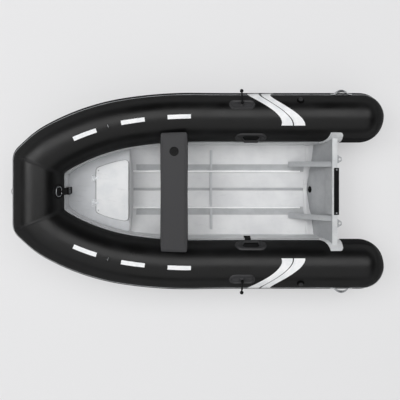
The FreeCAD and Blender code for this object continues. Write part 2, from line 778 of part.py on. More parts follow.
def transom_foot_angle():
    half = KNEE_PLATE / 2 + SKIN_GAP
    edge = TUBE_Y - WALL_FOOT_INBOARD["aft"] - PLATE
    return strips_across(FOOT_ANGLE_AFT_X, FOOT_ANGLE_FORE_X,
                         KNEE_Y - half, KNEE_Y + half, edge, FRAME_HEIGHT)


def floor_stringers():
    inner = STRINGER_INNER_Y
    outer = inner + STRINGER_WIDTH
    low = floor_outline(0, inner, outer)
    crown = low[-1][1] + STRINGER_TOP
    inset = STRINGER_WIDTH / 6
    outline = [Vector(STRINGER_AFT_X, y, z + SKIN_GAP) for y, z in low]
    outline.append(Vector(STRINGER_AFT_X, outer - inset, crown))
    outline.append(Vector(STRINGER_AFT_X, inner + inset, crown))
    bar = face_of(outline).extrude(X_AXIS * (STRINGER_FORE_X - STRINGER_AFT_X))
    return Part.makeCompound([bar, mirrored(bar)])


# ---- deck, locker and lid ---------------------------------------------------------------------------
def wall_inner_y(x, z):
    """Half breadth of the side wall's inner face at a place."""
    (foot_y, foot_z), (head_y, head_z) = between(wall_xs(), wall_line, x)
    return foot_y + (head_y - foot_y) * (z - foot_z) / (head_z - foot_z)


def locker_bulkhead():
    top = DECK_TOP_Z - PLATE - SKIN_GAP
    x = BULKHEAD_X
    reach = wall_inner_y(x, top) - DECK_EDGE_CLEAR
    foot = wall_inner_y(x, floor_top(x, reach)) - DECK_EDGE_CLEAR
    plate = face_of([
        Vector(x, foot, KEEL_Z),
        Vector(x, reach, top),
        Vector(x, -reach, top),
        Vector(x, -foot, KEEL_Z),
    ]).extrude(X_AXIS * PLATE)
    for block in below_floor():
        plate = plate.cut(block)
    return plate


def lid_outline(grow):
    """Closed outline of the lid, larger by grow all round, at z = 0."""
    aft = LID_AFT_X - grow
    fore = LID_FORE_X + grow
    half_aft = LID_HALF_AFT + grow
    half_fore = LID_HALF_FORE + grow
    middle = Vector((aft + fore) / 2, (half_aft + half_fore) / 2 + LID_BOW, 0)
    a = Vector(aft, half_aft, 0)
    b = Vector(fore, half_fore, 0)
    left = Part.Arc(a, middle, b).toShape()
    front = Part.makeLine(b, Vector(fore, -half_fore, 0))
    right = Part.Arc(Vector(fore, -half_fore, 0), Vector(middle.x, -middle.y, 0),
                     Vector(aft, -half_aft, 0)).toShape()
    back = Part.makeLine(Vector(aft, -half_aft, 0), a)
    return Part.Face(Part.Wire([left, front, right, back]))


def upright_edges(solid, length):
    return [edge for edge in solid.Edges
            if abs(edge.Length - length) < 0.01
            and abs(edge.BoundBox.ZLength - length) < 0.01]


def lid_solid():
    body = lid_outline(0).extrude(Z_AXIS * LID_THICKNESS)
    body = body.makeFillet(LID_CORNER, upright_edges(body, LID_THICKNESS))
    body.translate(Z_AXIS * (DECK_TOP_Z + LID_REST_GAP))
    return body


def bow_deck():
    z = DECK_TOP_Z - PLATE
    front = BOW_CENTRE.at(*bow_wall_foot()).x - DECK_FRONT_CLEAR
    inner = [x for x in STATIONS_X if DECK_AFT_X < x < front]
    xs = [DECK_AFT_X] + inner + [front - DECK_EDGE_CLEAR, front]
    ys = [wall_inner_y(x, z) - DECK_EDGE_CLEAR for x in xs]
    ys[-1] -= DECK_FRONT_CLEAR
    side = [Vector(x, y, z) for x, y in zip(xs, ys)]
    other = [Vector(p.x, -p.y, z) for p in reversed(side)]
    plate = face_of(side + other).extrude(Z_AXIS * PLATE)
    hatch = lid_outline(-HATCH_LEDGE).extrude(Z_AXIS * FAR)
    hatch = hatch.makeFillet(LID_CORNER - HATCH_LEDGE / 2, upright_edges(hatch, FAR))
    for block in below_floor() + (hatch,):
        plate = plate.cut(block)
    return plate


def hinge_axis():
    return LID_FORE_X + HINGE_SETBACK, DECK_TOP_Z + LID_REST_GAP + LID_THICKNESS - HINGE_RADIUS


def barrel(centre_y, half, radius):
    x, z = hinge_axis()
    return Part.makeCylinder(radius, 2 * half, Vector(x, centre_y - half, z), Y_AXIS)


def lid_hinge_fixed():
    x, z = hinge_axis()
    halves = []
    for side in (1, -1):
        centre = side * HINGE_Y
        parts = []
        outer = HINGE_HALF_LENGTH
        inner = HINGE_MOVING_HALF + HINGE_SIDE_CLEAR
        for end in (1, -1):
            middle = centre + end * (outer + inner) / 2
            parts.append(barrel(middle, (outer - inner) / 2, HINGE_RADIUS))
            block = Part.makeBox(HINGE_RADIUS, outer - inner, z - DECK_TOP_Z,
                                 Vector(x, middle - (outer - inner) / 2, DECK_TOP_Z))
            parts.append(block)
        leaf = Part.makeBox(HINGE_LEAF_REACH, 2 * outer, HINGE_LEAF,
                            Vector(x + HINGE_RADIUS, centre - outer, DECK_TOP_Z))
        parts.append(leaf)
        parts.append(barrel(centre, outer, HINGE_PIN_RADIUS))
        halves.append(fused(parts))
    return Part.makeCompound(halves)


def lid_hinge_moving():
    x, z = hinge_axis()
    top = DECK_TOP_Z + LID_REST_GAP + LID_THICKNESS
    halves = []
    for side in (1, -1):
        centre = side * HINGE_Y
        half = HINGE_MOVING_HALF
        web = Part.makeBox(HINGE_RADIUS, 2 * half, top + HINGE_LEAF - z,
                           Vector(x - HINGE_RADIUS, centre - half, z))
        leaf = Part.makeBox(HINGE_LEAF_REACH + HINGE_SETBACK, 2 * half, HINGE_LEAF,
                            Vector(x - HINGE_LEAF_REACH - HINGE_SETBACK, centre - half, top))
        whole = fused([barrel(centre, half, HINGE_RADIUS), web, leaf])
        bore = barrel(centre, HINGE_HALF_LENGTH, HINGE_PIN_RADIUS + HINGE_PIN_CLEAR)
        halves.append(whole.cut(bore))
    return Part.makeCompound(halves)


# ---- bench seat ----------------------------------------------------------------------------------------
def bench_seat():
    aft = SEAT_CENTRE_X - SEAT_WIDTH / 2
    fore = SEAT_CENTRE_X + SEAT_WIDTH / 2
    z = SEAT_BOTTOM_Z
    body = face_of([
        Vector(aft, -SEAT_HALF_LENGTH_AFT, z),
        Vector(fore, -SEAT_HALF_LENGTH_FORE, z),
        Vector(fore, SEAT_HALF_LENGTH_FORE, z),
        Vector(aft, SEAT_HALF_LENGTH_AFT, z),
    ]).extrude(Z_AXIS * SEAT_THICKNESS)
    body = body.makeFillet(SEAT_CORNER, upright_edges(body, SEAT_THICKNESS))

    def nest(frame):
        circle = Part.makeCircle(TUBE_RADIUS + SKIN_GAP, frame.origin, frame.forward)
        return Part.Face(Part.Wire([circle]))

    for run in RUNS[1:4]:
        bed = run.sweep(nest(run.start))
        body = body.cut(bed).cut(mirrored(bed))
    return body


def seat_valve():
    valve = SEAT_VALVE
    base = Vector(valve["x"], valve["y"], SEAT_BOTTOM_Z + SEAT_THICKNESS + SKIN_GAP)
    rim = Part.makeCylinder(valve["radius"], valve["height"], base)
    dish = Part.makeCylinder(valve["radius"] * 0.7, valve["height"], base + Z_AXIS * 2)
    cap = Part.makeCylinder(valve["radius"] * 0.5, valve["height"], base)
    return fused([rim.cut(dish), cap])


# ---- fittings on the side tubes ----------------------------------------------------------------------------
def local_frame(frame, angle, radius):
    """Place and directions on the tube's skin: outward, and round the tube."""
    outward = (frame.polar(1, angle) - frame.origin).normalize()
    around = (frame.polar(1, angle + 90) - frame.origin).normalize()
    return frame.origin + outward * radius, outward, around


def side_frame(x):
    start = RUNS[0].start
    return Frame(Vector(x, TUBE_Y, TUBE_Z), start.forward, start.inboard)


def curved_patch(frame, angle, length, width, thickness):
    """A rubber pad with round ends lying on the tube's skin."""
    inner = TUBE_RADIUS + SKIN_GAP
    spread = math.degrees(width / inner)
    shell = ring_sector(frame, inner, inner + thickness, angle - spread, angle + spread)
    shell.translate(frame.forward * (-length / 2))
    shell = shell.extrude(frame.forward * length)
    seat, outward, around = local_frame(frame, angle, 0)
    half = width / 2
    straight = length / 2 - half
    corners = [(-straight, half), (straight, half), (straight, -half), (-straight, -half)]
    a, b, c, d = [seat + frame.forward * u + around * v for u, v in corners]
    tip = seat + frame.forward * (length / 2)
    tail = seat - frame.forward * (length / 2)
    wire = Part.Wire([
        Part.makeLine(a, b), Part.Arc(b, tip, c).toShape(),
        Part.makeLine(c, d), Part.Arc(d, tail, a).toShape()])
    return shell.common(Part.Face(wire).extrude(outward * FAR))


def both_sides(solid):
    return Part.makeCompound([solid, mirrored(solid)])


def oarlock_base():
    frame = side_frame(OARLOCK_X)
    pad = curved_patch(frame, OARLOCK_ANGLE, OARLOCK_LENGTH, OARLOCK_WIDTH, OARLOCK_THICKNESS)
    seat, outward, _ = local_frame(frame, OARLOCK_ANGLE, TUBE_RADIUS + OARLOCK_THICKNESS / 2)
    boss = Part.makeCylinder(OARLOCK_BOSS_RADIUS, OARLOCK_BOSS_HEIGHT, seat, outward)
    return fused([pad, boss])


def oarlock_pin():
    frame = side_frame(OARLOCK_X)
    top = TUBE_RADIUS + OARLOCK_THICKNESS / 2 + OARLOCK_BOSS_HEIGHT + SKIN_GAP
    seat, outward, _ = local_frame(frame, OARLOCK_ANGLE, top)
    tilt = math.radians(OARLOCK_PIN_TILT)
    aim = Vector(0, math.cos(tilt), math.sin(tilt))
    collar = Part.makeCylinder(OARLOCK_COLLAR_RADIUS, OARLOCK_COLLAR_HEIGHT, seat, outward)
    root = seat + outward * (OARLOCK_COLLAR_HEIGHT * 0.65)
    pin = Part.makeCylinder(OARLOCK_PIN_RADIUS, OARLOCK_PIN_REACH, root, aim)
    knob = Part.makeSphere(OARLOCK_KNOB_RADIUS, root + aim * OARLOCK_PIN_REACH)
    return fused([collar, pin, knob])


def carry_handle():
    frame = side_frame(HANDLE_X)
    pad = curved_patch(frame, HANDLE_ANGLE, HANDLE_LENGTH, HANDLE_WIDTH, HANDLE_THICKNESS)
    seat, outward, around = local_frame(frame, HANDLE_ANGLE, TUBE_RADIUS + HANDLE_THICKNESS / 2)
    foot = HANDLE_GRIP_LENGTH / 2
    head = HANDLE_GRIP_TOP / 2
    rise = HANDLE_GRIP_RISE
    thick = HANDLE_GRIP_THICKNESS
    outline = [
        (-foot, 0), (-head, rise), (head, rise), (foot, 0),
        (foot - thick * 1.3, 0), (head - thick, rise - thick),
        (-head + thick, rise - thick), (-foot + thick * 1.3, 0),
    ]
    points = [seat + frame.forward * u + outward * v - around * (HANDLE_GRIP_WIDTH / 2)
              for u, v in outline]
    grip = face_of(points).extrude(around * HANDLE_GRIP_WIDTH)
    return fused([pad, grip])


def stern_grab_handle():
    """A bent metal strap whose two feet lie on the tube and whose middle stands off."""
    frame = side_frame(GRAB_X)
    seat, outward, around = local_frame(frame, GRAB_ANGLE, TUBE_RADIUS + SKIN_GAP)
    half = GRAB_HALF_LENGTH
    thick = GRAB_THICKNESS
    foot = GRAB_FOOT_LENGTH

    def place(u, v):
        return seat + frame.forward * u + outward * v - around * (GRAB_WIDTH / 2)

    outer = Part.Arc(place(-half + foot, thick), place(0, GRAB_RISE),
                     place(half - foot, thick)).toShape()
    inner = Part.Arc(place(half - foot - thick, 0), place(0, GRAB_RISE - thick),
                     place(-half + foot + thick, 0)).toShape()
    left = Part.makePolygon([place(-half + foot + thick, 0), place(-half, 0),
                             place(-half, thick), place(-half + foot, thick)])
    right = Part.makePolygon([place(half - foot, thick), place(half, thick),
                              place(half, 0), place(half - foot - thick, 0)])
    wire = Part.Wire([outer] + right.Edges + [inner] + left.Edges)
    strap = Part.Face(wire).extrude(around * GRAB_WIDTH)
    tube = Part.makeCylinder(TUBE_RADIUS + SKIN_GAP, 4 * half,
                             frame.origin - frame.forward * (2 * half), frame.forward)
    return strap.cut(tube)


def tube_valve():
    frame = side_frame(VALVE_X)
    seat, outward, _ = local_frame(frame, VALVE_ANGLE, TUBE_RADIUS)
    post = Part.makeCylinder(VALVE_RADIUS, VALVE_HEIGHT, seat - outward * VALVE_HEIGHT / 2, outward)
    cap = Part.makeCylinder(VALVE_RADIUS * 0.8, VALVE_HEIGHT * 0.9, seat, outward)
    reach = 4 * VALVE_RADIUS
    tube = Part.makeCylinder(TUBE_RADIUS + SKIN_GAP, reach,
                             frame.origin - frame.forward * (reach / 2), frame.forward)
    return fused([post, cap]).cut(tube)


def side_clip():
    """A moulded clip for a paddle on the port side wall."""
    low_y = wall_inner_y(CLIP_X, CLIP_BOTTOM_Z) - SKIN_GAP
    high_y = wall_inner_y(CLIP_X, CLIP_TOP_Z) - SKIN_GAP
    x = CLIP_X - CLIP_LENGTH / 2
    lip = CLIP_DEPTH / 3
    outline = [
        Vector(x, low_y, CLIP_BOTTOM_Z),
        Vector(x, high_y, CLIP_TOP_Z),
        Vector(x, high_y - CLIP_DEPTH, CLIP_TOP_Z),
        Vector(x, high_y - CLIP_DEPTH, CLIP_TOP_Z - 2 * lip),
        Vector(x, low_y - lip, CLIP_TOP_Z - 4 * lip),
        Vector(x, low_y - lip, CLIP_BOTTOM_Z),
    ]
    return face_of(outline).extrude(X_AXIS * CLIP_LENGTH)


# ---- bow fittings --------------------------------------------------------------------------------------------
def bow_frame_at(y):
    return Frame(Vector(BOW_CENTRE.origin.x, y, BOW_CENTRE.origin.z),
                 BOW_CENTRE.forward, BOW_CENTRE.inboard)


def round_patch(frame, angle, radius):
    inner = TUBE_RADIUS + SKIN_GAP
    spread = math.degrees(2 * radius / inner)
    shell = ring_sector(frame, inner, inner + PATCH_THICKNESS, angle - spread, angle + spread)
    shell.translate(frame.forward * -radius)
    shell = shell.extrude(frame.forward * (2 * radius))
    seat, outward, _ = local_frame(frame, angle, 0)
    return shell.common(Part.makeCylinder(radius, FAR, seat, outward))


class RingPlace:
    """Where a wire ring is held, and the directions it lies along."""

    def __init__(self, ring):
        frame = bow_frame_at(ring["y"])
        lift = TUBE_RADIUS + PATCH_THICKNESS + 2 * SKIN_GAP + RING_WIRE / 2
        self.seat, self.outward, self.around = local_frame(frame, ring["angle"], lift)
        lean = math.radians(ring["lean"])
        self.across = frame.forward
        self.aim = self.outward * math.cos(lean) - self.around * math.sin(lean)
        self.middle = self.seat + self.aim * ring["half"]
        self.axis = self.across.cross(self.aim)


def bow_ring(ring, extra=0.0):
    """A square ring with well rounded corners, bent from one wire."""
    place = RingPlace(ring)
    half = ring["half"]
    corner = ring["corner"]
    radius = RING_WIRE / 2 + extra
    straight = half - corner
    pieces = []
    for quarter in range(4):
        turn = FreeCAD.Rotation(place.axis, 90 * quarter)
        across = turn.multVec(place.across)
        aim = turn.multVec(place.aim)
        start = place.middle + across * half - aim * straight
        pieces.append(Part.makeCylinder(radius, 2 * straight, start, aim))
        bend_start = place.middle + across * half + aim * straight
        centre = bend_start - across * corner
        circle = Part.Face(Part.Wire([Part.makeCircle(radius, bend_start, aim)]))
        pieces.append(circle.revolve(centre, place.axis, 90))
    return fused(pieces)


def ring_patch(ring):
    """A round patch with a small loop of webbing that holds its ring."""
    frame = bow_frame_at(ring["y"])
    patch = round_patch(frame, ring["patch_angle"], ring["patch"])
    place = RingPlace(ring)
    wide = ring["loop"] / 2
    high = RING_LOOP_HEIGHT
    base = place.seat - place.outward * (RING_WIRE / 2 + PATCH_THICKNESS / 2)
    corners = [(-wide, -high), (wide, -high), (wide, high), (-wide, high)]
    loop = face_of([base + place.across * u + place.around * v for u, v in corners])
    loop = loop.extrude(place.outward * (RING_WIRE + 3 * SKIN_GAP + PATCH_THICKNESS))
    return fused([patch, loop]).cut(bow_ring(ring, SKIN_GAP))


def strap_front():
    """The strap's middle and the X of its back face, a gap inboard of the bow rail."""
    rail = across_bow(rail_section).BoundBox
    return D_RING["y"] + STRAP_OFFSET_Y, rail.XMin - SKIN_GAP


def strap_shoulder(frame, radius, x):
    """Where the strap's straight run from the tube, at a radius, reaches an X."""
    leave = math.radians(STRAP_LEAVES)
    along = frame.inboard * math.sin(leave) - frame.up * math.cos(leave)
    start = frame.polar(radius, STRAP_LEAVES)
    return start + along * ((x - start.x) / along.x)


def bow_strap():
    """Webbing over the tube's inner shoulder and the rail, then upright down to the deck."""
    centre_y, back_x = strap_front()
    frame = bow_frame_at(centre_y)
    inner = TUBE_RADIUS + 2 * SKIN_GAP + PATCH_THICKNESS
    outer = inner + STRAP_THICKNESS
    foot = Z_AXIS * (DECK_TOP_Z + SKIN_GAP)
    hug = ring_sector(frame, inner, outer, STRAP_LEAVES, STRAP_FROM)
    back = strap_shoulder(frame, inner, back_x)
    front = strap_shoulder(frame, outer, back_x - STRAP_THICKNESS)
    drop = face_of([
        frame.polar(inner, STRAP_LEAVES),
        back,
        Vector(back.x, back.y, 0) + foot,
        Vector(front.x, front.y, 0) + foot,
        front,
        frame.polar(outer, STRAP_LEAVES),
    ])
    solids = []
    for face in (hug, drop):
        face.translate(Y_AXIS * -STRAP_HALF_WIDTH)
        solids.append(face.extrude(Y_AXIS * (2 * STRAP_HALF_WIDTH)))
    return fused(solids)


def strap_buckle():
    """Ladder buckle upright on the strap, just below the rail."""
    centre_y, back_x = strap_front()
    top = strap_shoulder(bow_frame_at(centre_y), TUBE_RADIUS, back_x).z - BUCKLE_BELOW_RAIL
    front_x = back_x - STRAP_THICKNESS - SKIN_GAP
    body = Part.makeBox(
        BUCKLE_THICKNESS, 2 * BUCKLE_HALF_WIDTH, BUCKLE_HEIGHT,
        Vector(front_x - BUCKLE_THICKNESS, centre_y - BUCKLE_HALF_WIDTH, top - BUCKLE_HEIGHT))
    return body.makeFillet(PLATE / 2, body.Edges)


# ---- the list of nodes -----------------------------------------------------------------------------------------
def hull_nodes():
    port_floor, starboard_floor = below_floor()
    wall = side_wall()
    rail_side = along_port(rail_section).cut(aft_of(RAIL_AFT_X))
    cradle_side = along_port(cradle_section).cut(aft_of(CRADLE_AFT_X))
    keel = keel_profile()
    bow_wall = across_bow(bow_wall_section).cut(port_floor).cut(starboard_floor).cut(keel)
    plate = bottom_plate()
    return {
        "bottom_plate_port": plate,
        "bottom_plate_starboard": mirrored(plate),
        "keel_profile": keel,
        "side_wall_port": wall,
        "side_wall_starboard": mirrored(wall),
        "bow_wall": bow_wall,
        "gunwale_rail": fused([rail_side, across_bow(rail_section), mirrored(rail_side)]),
        "tube_cradle": fused([cradle_side, across_bow(cradle_section), mirrored(cradle_side)]),
        "floor_stringers": floor_stringers(),
        "floor_frame": floor_frame(),
        "transom_foot_angle": transom_foot_angle(),
    }


def tube_nodes():
    tube = port_tube()
    return {
        "tube_port": tube,
        "tube_starboard": mirrored(tube),
        "tube_bow": across_bow(tube_section),
        "rub_strake": rub_strake(),
    }


def transom_nodes():
    saddle = transom_saddle()
    knee = transom_knee()
    return {
        "transom": transom(),
        "transom_cap": transom_cap(),
        "motor_pad": motor_pad(),
        "clamp_plate": clamp_plate(),
        "transom_saddle_port": saddle,
        "transom_saddle_starboard": mirrored(saddle),
        "transom_knee_port": knee,
        "transom_knee_starboard": mirrored(knee),
        "lifting_eyes": lifting_eyes(),
        "drain_plug": drain_plug(),
    }


def bow_nodes():
    return {
        "locker_bulkhead": locker_bulkhead(),
        "bow_deck": bow_deck(),
        "bow_locker_lid": lid_solid(),
        "lid_hinge_fixed": lid_hinge_fixed(),
        "lid_hinge_moving": lid_hinge_moving(),
        "tow_ring_patch": ring_patch(TOW_RING).cut(across_bow(strake_section)),
        "towing_ring": bow_ring(TOW_RING),
        "d_ring_patch": ring_patch(D_RING),
        "bow_d_ring": bow_ring(D_RING),
        "bow_strap": bow_strap(),
        "strap_buckle": strap_buckle(),
    }


def fitting_nodes():
    return {
        "bench_seat": bench_seat(),
        "seat_valve": seat_valve(),
        "oarlock_bases": both_sides(oarlock_base()),
        "oarlock_pins": both_sides(oarlock_pin()),
        "carry_handles": both_sides(carry_handle()),
        "stern_grab_handles": both_sides(stern_grab_handle()),
        "tube_valves": both_sides(tube_valve()),
        "side_clip": side_clip(),
    }


def main():
    os.makedirs("parts", exist_ok=True)
    for group in (tube_nodes, hull_nodes, transom_nodes, bow_nodes, fitting_nodes):
        for name, shape in group().items():
            shape.exportStep("parts/" + name + ".step")
            print(name, len(shape.Solids), "solids", round(shape.Volume), "mm3",
                  "valid" if shape.isValid() else "NOT VALID")


main()
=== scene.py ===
"""A rigid inflatable boat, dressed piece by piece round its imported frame.

Metres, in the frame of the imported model: +X forward, +Y to port, +Z up.  The air tubes, the
soft goods and the moulded fittings are new surfaces; the welded hull keeps its plates.
"""
import json
import logging
import math
from collections.abc import Callable
from dataclasses import dataclass, field
from enum import Enum

import bmesh
import bpy
import numpy as np
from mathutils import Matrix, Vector
from mathutils.bvhtree import BVHTree


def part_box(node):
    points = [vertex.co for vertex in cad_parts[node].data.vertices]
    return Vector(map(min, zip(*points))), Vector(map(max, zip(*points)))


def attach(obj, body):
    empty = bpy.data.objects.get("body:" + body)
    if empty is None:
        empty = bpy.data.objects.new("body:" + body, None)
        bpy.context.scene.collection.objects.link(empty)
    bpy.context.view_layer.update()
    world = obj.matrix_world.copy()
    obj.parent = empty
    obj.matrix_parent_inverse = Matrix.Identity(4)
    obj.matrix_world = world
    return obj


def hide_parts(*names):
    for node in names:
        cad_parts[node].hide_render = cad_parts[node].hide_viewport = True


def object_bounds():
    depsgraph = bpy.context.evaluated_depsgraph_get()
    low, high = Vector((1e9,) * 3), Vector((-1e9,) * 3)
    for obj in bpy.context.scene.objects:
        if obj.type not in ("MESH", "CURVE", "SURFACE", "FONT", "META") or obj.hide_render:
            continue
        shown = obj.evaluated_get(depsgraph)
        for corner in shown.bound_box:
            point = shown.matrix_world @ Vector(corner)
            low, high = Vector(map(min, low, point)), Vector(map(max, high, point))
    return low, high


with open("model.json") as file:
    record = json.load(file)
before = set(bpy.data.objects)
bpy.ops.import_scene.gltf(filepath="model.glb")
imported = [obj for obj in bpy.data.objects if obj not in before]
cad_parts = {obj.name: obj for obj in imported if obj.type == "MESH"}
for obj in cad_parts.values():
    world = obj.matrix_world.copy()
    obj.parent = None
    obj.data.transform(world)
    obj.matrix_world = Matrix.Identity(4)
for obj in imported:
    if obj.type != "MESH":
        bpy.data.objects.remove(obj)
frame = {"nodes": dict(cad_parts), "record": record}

CAD_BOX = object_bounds()
REPORT = logging.getLogger("boat")
MM = 0.001
HULL = "hull"
LID = "locker_lid"

# unit vectors of the frame: forward, to port and up
AHEAD, PORTWARD, UPWARD = np.eye(3)

# settings shared by the nodes that ease one value into another and that mix two colours
EASE = {"interpolation_type": "SMOOTHSTEP"}
COLOURS = {"data_type": "RGBA"}

Socket = bpy.types.NodeSocket
Tree = bpy.types.NodeTree
Piece = bpy.types.Object


# ---- colour and nodes --------------------------------------------------------------------
def linear(hex_code: str) -> tuple[float, float, float, float]:
    """Linear colour of an sRGB hex value.

    Args:
        hex_code: The colour as "#RRGGBB".

    Returns:
        Red, green, blue and an alpha of 1, as a shader socket takes them.
    """
    channels = np.array([int(hex_code[k:k + 2], 16) for k in (1, 3, 5)]) / 255.0
    low, high = channels / 12.92, ((channels + 0.055) / 1.055) ** 2.4
    red, green, blue = (float(c) for c in np.where(channels <= 0.04045, low, high))
    return red, green, blue, 1.0


def add_node(tree: Tree, kind: str, settings: dict | None = None,
             feeds: dict | None = None) -> bpy.types.Node:
    """Adds one shader node.

    Args:
        tree: The node tree it goes into.
        kind: The node's type without its "ShaderNode".
        settings: Values by input name or number, or by the node's own attribute.
        feeds: Output sockets by the input name or number that they are linked to.

    Returns:
        The new node.
    """
    node = tree.nodes.new("ShaderNode" + kind)
    for key, value in (settings or {}).items():
        if isinstance(key, int) or key in node.inputs:
            node.inputs[key].default_value = value
        else:
            setattr(node, key, value)
    for key, source in (feeds or {}).items():
        tree.links.new(source, node.inputs[key])
    return node


def clean_tree(owner: bpy.types.Material | bpy.types.World) -> Tree:
    """The emptied node tree of a new material or world.

    Args:
        owner: The material or world.

    Returns:
        Its tree, with no nodes in it.
    """
    owner.use_nodes = True
    owner.node_tree.nodes.clear()
    return owner.node_tree


def per_metre(size_mm: float) -> float:
    """Noise or cell scale whose features are size_mm across, on coordinates in metres."""
    return 1.0 / (size_mm * MM)


def bands_per_metre(pitch_mm: float) -> float:
    """Wave scale whose bands repeat every pitch_mm: a wave's period is 2 pi / 20."""
    return 2 * math.pi / 20.0 / (pitch_mm * MM)


# ---- finishes ----------------------------------------------------------------------------
class Place(Enum):
    """What a finish's pattern follows."""

    OBJECT = "Object"
    CLOTH = "UV"


@dataclass(frozen=True)
class Finish:
    """One real material with its colour, its slow variation and its relief.

    The colour drifts between base and shade in soft patches, and the roughness drifts with
    it; `dull` adds roughness where the surface is seen along itself and its relief hides the
    gleam.  A subclass gives the relief in `relief` and marks of its own in `mark`.
    """

    name: str
    base: str
    shade: str
    roughness: float
    rough_drift: float = 0.06
    patch_mm: float = 160.0
    metallic: float = 0.0
    specular: float = 0.5
    relief_mm: float = 0.2
    dull: float = 0.0
    place: Place = Place.OBJECT

    def relief(self, tree: Tree, where: Socket) -> Socket:
        """Height of the surface, 0 to 1, from fine random grain."""
        return add_node(tree, "TexNoise", {"Scale": per_metre(4.0), "Detail": 2.0},
                        {"Vector": where}).outputs[0]

    def mark(self, tree: Tree, where: Socket, colour: Socket) -> Socket:
        """Colour after this finish's own marks; the plain one has none."""
        return colour

    @staticmethod
    def stained(tree: Tree, where: Socket, colour: Socket, stain: str, noise: dict,
                span: tuple[float, float, float]) -> Socket:
        """Colour that goes over to a stain where a noise is high.

        Args:
            tree: The node tree.
            where: The coordinates of the noise.
            colour: The colour that is stained.
            stain: The stain's hex colour.
            noise: The noise's settings.
            span: Where the stain starts, where it is full, and how full.

        Returns:
            The stained colour.
        """
        high = add_node(tree, "TexNoise", noise, {"Vector": where}).outputs[0]
        start, full, most = span
        share = add_node(tree, "MapRange", {**EASE, "From Min": start, "From Max": full,
                                            "To Max": most}, {"Value": high}).outputs[0]
        return add_node(tree, "Mix", {**COLOURS, 7: linear(stain)},
                        {0: share, 6: colour}).outputs[2]

    def shine(self, tree: Tree, shader: bpy.types.Node) -> None:
        """Sets what else the shader needs; the plain finish needs nothing."""

    def material(self) -> bpy.types.Material:
        """The Blender material, made once and then shared.

        Returns:
            The material with its node tree.
        """
        known = bpy.data.materials.get(self.name)
        if known:
            return known
        made = bpy.data.materials.new(self.name)
        tree = clean_tree(made)
        where = add_node(tree, "TexCoord").outputs[self.place.value]
        drift = add_node(tree, "TexNoise",
                         {"Scale": per_metre(self.patch_mm), "Detail": 4.0,
                          "Roughness": 0.6}, {"Vector": where}).outputs[0]
        share = add_node(tree, "MapRange", {**EASE, "From Min": 0.35, "From Max": 0.68},
                         {"Value": drift}).outputs[0]
        colour = add_node(tree, "Mix", {**COLOURS, 6: linear(self.base),
                                        7: linear(self.shade)}, {0: share}).outputs[2]
        colour = self.mark(tree, where, colour)
        rough = add_node(tree, "MapRange",
                         {**EASE, "From Min": 0.3, "From Max": 0.7,
                          "To Min": self.roughness - self.rough_drift,
                          "To Max": self.roughness + self.rough_drift},
                         {"Value": drift}).outputs[0]
        if self.dull:
            facing = add_node(tree, "LayerWeight").outputs["Facing"]
            added = add_node(tree, "MapRange", {**EASE, "From Min": 0.12, "From Max": 0.55,
                                                "To Max": self.dull}, {"Value": facing})
            rough = add_node(tree, "Math", {"operation": "ADD"},
                             {0: rough, 1: added.outputs[0]}).outputs[0]
        bump = add_node(tree, "Bump", {"Strength": 0.6, "Distance": self.relief_mm * MM},
                        {"Height": self.relief(tree, where)})
        shader = add_node(tree, "BsdfPrincipled",
                          {"Metallic": self.metallic, "Specular IOR Level": self.specular},
                          {"Base Color": colour, "Roughness": rough,
                           "Normal": bump.outputs[0]})
        self.shine(tree, shader)
        add_node(tree, "OutputMaterial", None, {"Surface": shader.outputs[0]})
        return made

    def coat(self, mesh: bpy.types.Mesh) -> None:
        """Makes this the mesh's only material."""
        mesh.materials.clear()
        mesh.materials.append(self.material())


@dataclass(frozen=True)
class CoatedFabric(Finish):
    """Polyester cloth with a calendered coating: the weave shows faintly through it.

    The real threads are 0.9 mm apart; weave_mm draws them coarser so that they show.
    """

    weave_mm: float = 2.6
    place: Place = Place.CLOTH

    def relief(self, tree: Tree, where: Socket) -> Socket:
        """Two crossed sets of threads, the higher one on top, and a little random grain.

        Args:
            tree: The node tree.
            where: The coordinates.

        Returns:
            The height's socket.
        """
        sets = [add_node(tree, "TexWave",
                         {"bands_direction": axis, "Scale": bands_per_metre(self.weave_mm),
                          "Distortion": 0.4, "Detail": 1.0}, {"Vector": where}).outputs[1]
                for axis in ("X", "Y")]
        top = add_node(tree, "Math", {"operation": "MAXIMUM"}, {0: sets[0], 1: sets[1]})
        grain = add_node(tree, "TexNoise", {"Scale": per_metre(9.0), "Detail": 3.0},
                         {"Vector": where})
        return add_node(tree, "Math", {"operation": "MULTIPLY_ADD", 1: 0.8},
                        {0: grain.outputs[0], 2: top.outputs[0]}).outputs[0]

    def mark(self, tree: Tree, where: Socket, colour: Socket) -> Socket:
        """Chalky dust that lies in the hollows of slow waves."""
        dust = {"Scale": per_metre(55.0), "Detail": 6.0, "Roughness": 0.7}
        return self.stained(tree, where, colour, self.shade, dust, (0.52, 0.8, 0.5))


